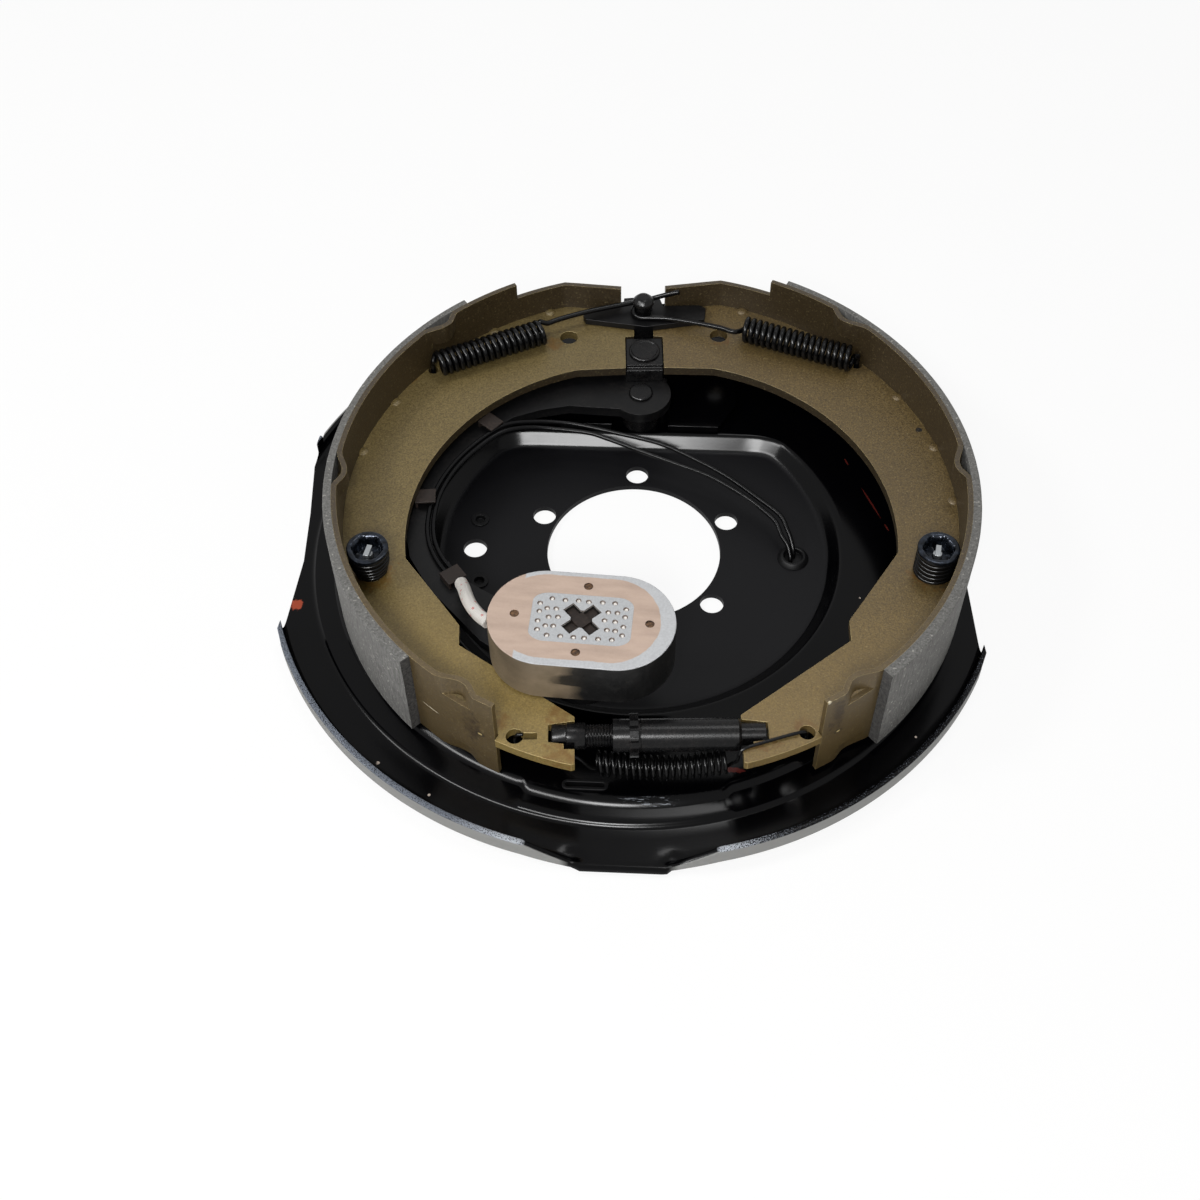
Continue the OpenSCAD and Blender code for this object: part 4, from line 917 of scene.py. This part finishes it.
def shoe_web(side):
    """Web of a shoe, with the low beads where it is welded to the table, and painted shade on the upright faces of
    its inner side.
    """
    middle = Vector(on_shoes((0, arc_y)))
    inner_edge_r = 118

    def beads(work):
        # Painted shade: the upright faces on the web's inner side take the darker lacquer
        for face in work.faces:
            away = face.calc_center_median().xy / MM - middle
            if abs(face.normal.z) < 0.5 and away.length < inner_edge_r:
                face.material_index = 2
        for spot in weld_spots[side]:
            # The bead sits half under the table's inner face
            away = Vector(spot) - middle
            centre = middle + away * (table_r - table_t - 1.2) / away.length
            rings = [[work.verts.new(mm((*p, web_top + z))) for p in arc(r, 0, 330, 11, centre)]
                     for r, z in ((3.0, -0.4), (2.7, 0.35), (1.9, 0.9), (0.8, 1.2))]
            for low, high in zip(rings, rings[1:]):
                for k in range(12):
                    work.faces.new((low[k], low[(k + 1) % 12], high[(k + 1) % 12], high[k]))
            work.faces.new(rings[-1])
            work.faces.new(rings[0][::-1])
    return softened(f"{side}_shoe_web", 0.3, [web_finish[side], edge_line, inner_edge_painted_shade], edge=1, extra=beads)


# Springs and hold-downs
def return_spring(side):
    """Close-wound return spring: arm from the anchor pin's neck, coil, and hook down through the web."""
    s = -1 if side == "left" else 1
    hole = (s * 106.5, 90.7)
    loop_r = neck_r + 1.1 + 0.35
    if side == "left":
        z = guide_top + 3.6
        arm = [(18, 130.7, z + 6.8), (12.5, 131.5, z + 4.6), (6, 132.5, z + 1.6)]
        arm += [(*p, z) for p in arc(loop_r, 80, 118, 4, (0, anchor_y))]
        arm += [(-14, 128.6, z), (-30, 124, z), (-44, 118.6, z), (-49, 116, z)]
    else:
        z = guide_top + 1.3
        arm = [(*p, z) for p in arc(loop_r, 40, 262, 10, (0, anchor_y))]
        arm += [(12, 121, z), (26, 117.2, z + 0.4), (38, 112.4, z + 1.4), (46, 108.2, z + 2)]
    coil = helix((s * 51, 110.5, return_z), (s * 103, 87.9, return_z), return_coil_r, 18, 12, 60 if s < 0 else -120)
    hook = [(hole[0] - s * 0.9, hole[1] - 2.6, return_z + return_coil_r * 0.3),
            (hole[0] - s * 0.2, hole[1] - 0.6, return_z - 1.5), (*hole, web_top + 0.5), (*hole, web_low - 1.6)]
    path = [on_shoes(p) for p in arm + coil + hook]
    mesh = round_wire(f"{side}_return_wire", curved(path, 3), return_wire)
    return stretched(f"{side}_return_spring", mesh)


def adjuster_spring():
    """Tension spring under the adjuster, bowed away by the star wheel, with an arm over each web."""
    turns, steps, r = 20, 12, 4.95
    # The coil hangs 13.1 mm off the adjuster's axis, and its bow goes on in the same direction
    out_y, out_z = polar(math.radians(64), 1.0)
    y0, z0 = adjuster_y - 13.1 * out_y, adjuster_z - 13.1 * out_z
    coil = []
    for i in range(turns * steps + 1):
        f, a = i / (turns * steps), math.radians(-90 + 360 * i / steps)
        bow = 3.12 * math.sin(math.pi * f)
        coil.append((-26.2 + 55.4 * f, y0 - bow * out_y + r * math.cos(a), z0 - bow * out_z + r * math.sin(a)))
    left = [(-56.8, -128.6, web_top + 1.3), (-59.4, -128.6, web_top + 0.6), (-60.2, -128.6, web_low + 1),
            (-58.2, -129, web_low - 1.6), (-52.2, -130.2, web_low - 2), (-42, -131.6, web_low - 2.4),
            (-34, -132.8, web_low - 6), (-29, y0 - 0.4, z0 - r + 1.6)]
    right = [(31, y0 - 2.4, z0 + 2), (32.8, y0 - 4.6, web_low - 2), (33.4, y0 - 4.8, web_top - 1),
             (35.4, -136.6, web_top + 1.1), (42, -134.4, web_top + 1.3), (52, -131.2, web_top + 1.3),
             (59.6, -129, web_top + 1.2), (61.9, -128.5, web_top - 0.4), (62.3, -128.4, web_low - 1.4)]
    path = [on_shoes(p) for p in left + coil + right]
    mesh = round_wire("adjuster_spring_wire", curved(path, 3), 1.5, 8)
    return stretched("adjuster_spring", mesh)


def hold_down_spring(side):
    """Coil under a hold-down cup. The left one is narrower at its foot."""
    top = cup_r - hold_wire / 2 - 0.1
    foot = 6.2 if side == "left" else top
    low, high = web_top + hold_wire / 2 + 0.1, cup_top - 2.6 - hold_wire / 2
    path = []
    for i in range(5 * 40 + 1):
        f = i / 200
        r = foot + (top - foot) * min(1.0, f * 1.5)
        path.append((*polar(2 * math.pi * i / 40, r, hold_down_at[side]), low + (high - low) * f))
    mesh = round_wire(f"{side}_hold_down_wire", path, hold_wire)
    return piece(f"{side}_hold_down_spring", mesh, [spring_black], 60)


def hold_down_pin(side):
    """Pin of a hold-down, its flat end turned to lock across the cup."""
    def across(work):
        low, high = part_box(f"{side}_hold_down_pin")
        bmesh.ops.rotate(work, cent=(Vector(low) + Vector(high)) / 2, verts=work.verts,
                         matrix=Matrix.Rotation(math.radians(80), 3, "Z"))
    return softened(f"{side}_hold_down_pin", 0.25, [bright_zinc], extra=across)


def hold_down_cup(side):
    """Stamped cup: flat rim, and a six-lobed recess that the pin's end is turned in."""
    outer = [(2.3, 0.0), (5.9, 0.0), (6.4, 0.25), (6.8, 0.9), (7.1, 2.6), (7.2, 4.7), (7.6, 5.0), (9.0, 5.0),
             (9.3, 5.2), (9.4, 5.6), (9.4, 6.8), (9.25, 7.2), (8.9, 7.4)]
    inner = [(7.6, 7.4), (7.1, 7.15), (6.5, 6.4), (6.2, 5.0), (6.0, 2.2), (5.5, 1.4), (5.0, 1.2), (2.3, 1.2)]
    sections = []
    for a in full_turn(144):
        lobe = max(0.0, math.cos(6 * a)) ** 0.6 - 0.45
        section = list(outer)
        for i, (r, z) in enumerate(inner):
            if i < len(inner) - 2:
                r = min(r + (0.75 if i > 1 else 0.35) * lobe * (1.0 if z > 1.3 else 0.4), 8.3)
            section.append((r, z))
        sections.append([(*polar(a, r, hold_down_at[side]), cup_top - cup_h + z) for r, z in section])
    return piece(f"{side}_hold_down_cup", joined(f"{side}_cup_stamping", sections), [cup_zinc], 35)


# Adjuster
def adjusting_screw():
    """Screw of the adjuster: slotted end, collar and thread."""
    outline = [(-44.9, 0.0), (-44.9, 4.5), (-44.3, 5.1), (-38.9, 5.1), (-38.6, 5.3), (-38.3, 5.6), (-31.0, 5.6),
               (-30.5, 5.2), (-30.3, 4.5)]
    x = -30.3
    while x < -11.6:
        x += thread_pitch / 8
        outline.append((x, None))
    outline += [(-11.5, 4.4), (-11.5, 0.0)]
    steps = 48
    sections = []
    for k, a in enumerate(full_turn(steps)):
        section = []
        for x, r in outline:
            if r is None:
                phase = (x / thread_pitch - k / steps) % 1
                r = 4.42 + 0.56 * (1 - abs(2 * phase - 1)) ** 0.9
            section.append(on_shoes((x, *polar(a, r, (adjuster_y, adjuster_z)))))
        sections.append(section)
    mesh = joined("adjusting_screw_turned", sections, loop=False, reach=1e-6)
    half = 2.7
    notch = [on_shoes(p) for p in ((-47, -140), (-35.1, -140), (-35.1, -115), (-47, -115))]
    mesh = cut(mesh, [prism("fork_notch", notch, adjuster_z - half, adjuster_z + half)])
    return piece("adjusting_screw", mesh, [turned_black], 40)


# Magnet
def core_outline(grow=0.0):
    """Outline of the core plate, with its long rounded corners."""
    x, y, cx, cy = 21.59 + grow, 12.79 + grow, 7.0, 5.0
    return [on_magnet((sx * (x - cx) + cx * c, sy * (y - cy) + cy * s))
            for sx, sy, a0 in ((1, -1, -90), (1, 1, 0), (-1, 1, 90), (-1, -1, 180))
            for c, s in arc(1.0, a0, a0 + 90, 9)]


def cross(half, length, width, low, high):
    """Blocks for a cross-shaped hole with a square middle."""
    blocks = [[(-half, -half), (half, -half), (half, half), (-half, half)]]
    bar = [(-length, -width), (length, -width), (length, width), (-length, width)]
    blocks += [[moved(p, a, (0, 0)) for p in bar] for a in (45, 135)]
    return [prism("cross", [on_magnet(p) for p in block], low, high) for block in blocks]


def core_plate():
    """Core plate with its cross-shaped hole and drilled dimples."""
    mesh = prism("core_plate_blank", core_outline(), magnet_top - 4.0, magnet_top)
    cutters = cross(4.6, 8.8, 2.8, magnet_top - 6, magnet_top + 1)
    draw = random.Random(5)
    quarter = [(13.7, 9.7), (8.1, 9.65), (2.05, 9.6), (18.1, 6.8), (18.2, 2.6), (15.0, 4.65), (11.1, 4.65)]
    spots = [(sx * u, sy * v) for u, v in quarter for sx in (-1, 1) for sy in (-1, 1)]
    spots += [(sx * u, 0.15) for u in (14.05, 10.1) for sx in (-1, 1)]
    drill = [(r, magnet_top + z)
             for r, z in ((0.0, -0.9), (0.75, -0.78), (1.15, -0.45), (1.28, 0.02), (1.28, 0.6), (0.0, 0.6))]
    for u, v in spots:
        p = on_magnet((u + draw.uniform(-0.3, 0.3), v + draw.uniform(-0.2, 0.2)))
        cutters.append(turned("dimple", drill, p, 20))
    return piece("magnet_core_plate", cut(mesh, cutters), [core_steel], 50)


def magnet_clip():
    """Clip pressed on the magnet's pin: a flat cross, with a square head turned across it."""
    blocks = cross(4.3, 8.5, 2.5, magnet_top - 3.7, magnet_top - 2.2)
    head = [on_magnet(p) for p in ((-4.5, 0), (0, -4.5), (4.5, 0), (0, 4.5))]
    mesh = cut(blocks[0], blocks[1:] + [prism("clip_head", head, magnet_top - 3.2, magnet_top - 0.8)], "UNION")
    return rounded_edges(piece("magnet_clip", mesh, [clip_brown], 40), 0.25)


def magnet_spring():
    """Coil between lever and magnet, squeezed as the magnet is drawn down."""
    wire = 1.6
    low, high = (Vector(v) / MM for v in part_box("magnet_spring"))
    foot, top = (*magnet_centre, low.z + wire / 2), (*magnet_centre, high.z - wire / 2)
    mesh = round_wire("magnet_spring_wire", helix(foot, top, 9, 3, 36, 0, (1, 0, 0)), wire)
    return stretched("magnet_spring", mesh, bright_zinc)


def magnet_case():
    """Shell of the magnet: rounded rim, and a pocket that fits the core plate."""
    shelves = []
    for down, z in ((0.5, magnet_low), (0.0, magnet_low + 0.5), (0.0, magnet_low + 8), (0.0, magnet_low + 16),
                    (0.0, magnet_top - 0.55), (0.16, magnet_top - 0.16), (0.55, magnet_top)):
        shelves.append([(*on_magnet(p), z) for sx, a0 in ((1, -90), (-1, 90))
                        for p in arc(magnet_radius - down, a0, a0 + 180, 60, (sx * magnet_half_run, 0))])
    mesh = joined("magnet_shell_blank", shelves, ring=False)
    cutters = [prism("pocket", core_outline(0.03), magnet_top - 4, magnet_top + 1),
               disc(magnet_centre, magnet_bore_r, magnet_low - 1, magnet_top - 3)]
    cutters += [disc(on_magnet(p), 2.0, magnet_top - 3, magnet_top + 1, 24)
                for p in ((1.2, 17.8), (-28.6, 0.4), (29, 0.2), (-0.6, -17.4))]
    passage = [(*on_magnet((x, 5.2)), magnet_low + 10) for x in (-50, -44, -38.75)]
    mesh = cut(mesh, cutters + [round_wire("passage", passage, 6.4, 32, False)])
    return flattened(piece("magnet_case", mesh, [shell], 40))


# Leads
lead_routes = {
    "magnet_lead_a": [
        (77.2, -1, 0.6), (77.2, -0.7, 3), (77, 0.4, 5.8), (75.8, 4.2, 9), (73.8, 8.6, 11.8), (70.2, 15.9, 13.8),
        (60.6, 24.6, 14.8), (43.8, 38.6, 16), (27.1, 48.5, 17.4), (10.5, 56.2, 19), (-11.7, 60.7, 21),
        (-26.5, 63, 22.6), (-37.6, 63.6, 24), (-49.3, 62.2, 25.8), (-59.6, 58.9, 28.2), (-67, 54.8, 29.8),
        (-73, 49.5, 29.8), (-80, 41.5, 29.8), (-86, 33, 29.8), (-91, 23.5, 29.8), (-94.5, 14, 29.8),
        (-96.4, 5, 29.8), (-97, -5, 29.8), (-96.6, -14, 29.8), (-94.5, -23, 29.8), (-90.5, -31.5, 29.8),
        (-85.5, -38.5, 29.8), (-79.2, -46.2, 30.2)],
    "magnet_lead_b": [
        (75.8, -3.4, 0.6), (75.8, -3, 3), (75.3, -0.9, 5.2), (73.9, 2.4, 8), (71.1, 6.3, 10.1), (68.2, 12.9, 12.2),
        (62.2, 19.3, 13.2), (53.3, 26.9, 14.2), (36.5, 37.9, 15.6), (18.2, 45, 17), (-0.3, 51, 19.4),
        (-15.1, 55.4, 22), (-26.1, 57.4, 24), (-46.4, 57.6, 26), (-56.4, 55.6, 28), (-64.6, 51.7, 29.8),
        (-71.1, 47.1, 29.8), (-77.9, 39.4, 29.8), (-83.7, 31.3, 29.8), (-88.4, 22.5, 29.8), (-91.7, 13.3, 29.8),
        (-93.6, 4.8, 29.8), (-94.2, -5, 29.8), (-93.8, -13.4, 29.8), (-91.9, -21.8, 29.8), (-88.1, -29.8, 29.8),
        (-83.3, -36.4, 29.8), (-77.2, -44, 30.2)]}
sleeve_path = [(-76.9, -47.4, 32.6), (-75.8, -50.2, 34.2), (-74.6, -54, 36.8), (-73.4, -58.2, 39.8), (-72, -63, 43),
               (-70.3, -67.9, 45.6), (-67.8, -72.8, 47.3), (-64.4, -77.4, 48.2), (-60.4, -81, 48.6)]


def leads_and_sleeve():
    """Two leads, each whole from the grommet to the sleeve, and the sleeve to the magnet."""
    for node, route in lead_routes.items():
        mesh = round_wire(node + "_wire", curved(route, 6), 2.2, 12)
        stretched(node, mesh, finish=insulation)
    mesh = round_wire("sleeve_tube", curved(sleeve_path, 6), 6.0, 24, ends=False)
    piece("lead_sleeve", mesh, [sleeve_braid], 60)


def lead_grommet():
    """Grommet with a membrane closed round both leads, and a short neck."""
    low, high = (Vector(v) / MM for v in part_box("lead_grommet"))
    centre, top, foot = ((low.x + high.x) / 2, (low.y + high.y) / 2), high.z, low.z
    r = (high.x - low.x) / 2
    rim = [(0.0, 0.8), (4.9, 0.8), (5.1, foot + 0.2), (5.3, foot), (5.6, foot), (5.65, foot + 0.2),
           (5.65, sheet_t + 0.02), (r - 0.1, sheet_t + 0.02), (r, sheet_t + 0.2), (r - 0.1, sheet_t + 0.5),
           (r - 1.3, top - 0.5), (r - 1.7, top - 0.1), (r - 2.0, top), (4.9, top), (4.6, top - 0.3),
           (4.5, top - 0.9), (4.5, 2.6), (4.2, 2.2), (0.0, 2.2)]
    return piece("lead_grommet", turned("grommet_moulding", rim, centre, 64), [rubber], 30)


# All pieces
def build():
    backing_plate()
    for side in ("left", "right"):
        shoe_table(side)
        lining(side)
        shoe_web(side)
        return_spring(side)
        hold_down_pin(side)
    for make in (hold_down_spring, hold_down_cup):
        make("left")
        make("right")
    adjuster_spring()
    adjusting_screw()
    core_plate()
    magnet_case()
    magnet_clip()
    magnet_spring()
    leads_and_sleeve()
    lead_grommet()
    for node, radius, material in (
            ("anchor_reinforcement", 0.8, lacquer), ("anchor_pin", 0.3, turned_black),
            ("shoe_guide_plate", 0.6, satin_black), ("slot_plug", 0.3, rubber), ("hole_plugs", 0.25, rubber),
            ("lever_stud", 0.3, turned_black), ("lever_arm", 0.5, satin_black),
            ("actuating_block", 0.5, turned_black), ("block_rivet", 0.2, turned_black),
            ("lead_clips", 0.2, clip_brown), ("magnet_pin", 0.3, turned_black), ("magnet_rivets", 0.2, rivet_brass),
            ("star_wheel", 0.25, turned_black), ("adjuster_socket", 0.3, turned_black)):
        softened(node, radius, [material])


# Camera, light, floor
def photo_camera():
    """The camera as it was fitted to the photo's frame of 1200 pixels."""
    tilt, yaw, roll = (math.radians(v) for v in (52.262, -3.462, -0.792))
    spot = Vector((12.763, -487.318, 593.069)) * MM
    focal_pixels, frame_pixels = 1574.995, 1200
    lens = bpy.data.cameras.new("photo_lens")
    camera = bpy.data.objects.new("photo_camera", lens)
    bpy.context.scene.collection.objects.link(camera)
    ahead = Vector((math.sin(yaw) * math.cos(tilt), math.cos(yaw) * math.cos(tilt), -math.sin(tilt)))
    right = Vector((math.cos(yaw), -math.sin(yaw), 0))
    up = right.cross(ahead)
    r = right * math.cos(roll) + up * math.sin(roll)
    u = -right * math.sin(roll) + up * math.cos(roll)
    camera.matrix_world = Matrix(((r.x, u.x, -ahead.x, spot.x), (r.y, u.y, -ahead.y, spot.y),
                                  (r.z, u.z, -ahead.z, spot.z), (0, 0, 0, 1)))
    lens.sensor_width = 36
    lens.lens = focal_pixels / frame_pixels * lens.sensor_width
    lens.clip_start, lens.clip_end = 0.01, 50
    bpy.context.scene.camera = camera


def softbox(name, spot, size, power, lights=True):
    """A lamp with its place and size in metres, turned to the hub. One that doesn't light shows only in gloss."""
    lamp = bpy.data.lights.new(name, "AREA")
    lamp.shape, lamp.energy = "RECTANGLE", power
    lamp.size, lamp.size_y = size
    made = bpy.data.objects.new(name, lamp)
    made.location = spot
    made.rotation_euler = (-Vector(spot)).to_track_quat("-Z", "Y").to_euler()
    made.visible_diffuse = lights
    bpy.context.scene.collection.objects.link(made)


def white_where_seen(material):
    """1 for the eye, and for a mirror or glass that looks there, and 0 for the light that falls on the object."""
    ray = add(material, "LightPath").node.outputs
    seen = add(material, "Math MAXIMUM", (ray["Is Camera Ray"], ray["Is Glossy Ray"]))
    return add(material, "Math MAXIMUM", (seen, ray["Is Transmission Ray"]))


def pale_studio_floor():
    """Matt white-painted board: white to the eye, with an eighth of its shading left in for the object's shadow."""
    m = bare("matt_white_painted_board")
    paint = add(m, "MixRGB", (mottle(m, 60, 0.2, 0.8), "#f6f6f5", "#f2f2f1"))
    output = finished(m, Base_Color=paint, Roughness=0.8).node_tree.nodes["Material Output"].inputs["Surface"]
    glow = add(m, "Emission", ("#ffffff", 1.0))
    share = add(m, "Math MULTIPLY", (white_where_seen(m), 0.875))
    m.node_tree.links.new(add(m, "MixShader", (share, output.links[0].from_socket, glow)), output)
    return m


def studio():
    scene = bpy.context.scene
    scene.view_settings.view_transform = "Standard"
    air = bpy.data.worlds.new("studio_air")
    scene.world = air
    air.use_nodes = True
    strength = add(air, "MapRange", (white_where_seen(air), 0.0, 1.0, 0.25, 1.0))
    background = add(air, "Background", ("#ffffff", strength))
    air.node_tree.links.new(background, air.node_tree.nodes["World Output"].inputs["Surface"])
    softbox("front_softbox", (-0.09, -1.09, 1.11), (0.32, 0.32), 13)
    softbox("left_softbox", (-1.0, -0.12, 1.1), (0.3, 0.3), 6.5)
    softbox("top_softbox", (0.2, 0.35, 1.5), (0.35, 0.35), 3.5)
    # Two cards for the drawn-out highlights along the bends of the plate
    softbox("front_card", (-0.09, -1.12, 1.14), (0.34, 0.34), 10, lights=False)
    softbox("long_card", (-0.66, -0.76, 1.1), (1.1, 0.22), 30, lights=False)
    half, under = 4.0, -0.0002
    board = bpy.data.meshes.new("floor")
    board.from_pydata([(x * half, y * half, under) for x, y in ((-1, -1), (1, -1), (1, 1), (-1, 1))], [],
                      [(0, 1, 2, 3)])
    board.materials.append(pale_studio_floor())
    made = bpy.data.objects.new("studio_floor", board)
    scene.collection.objects.link(made)


photo_camera()
build()
studio()
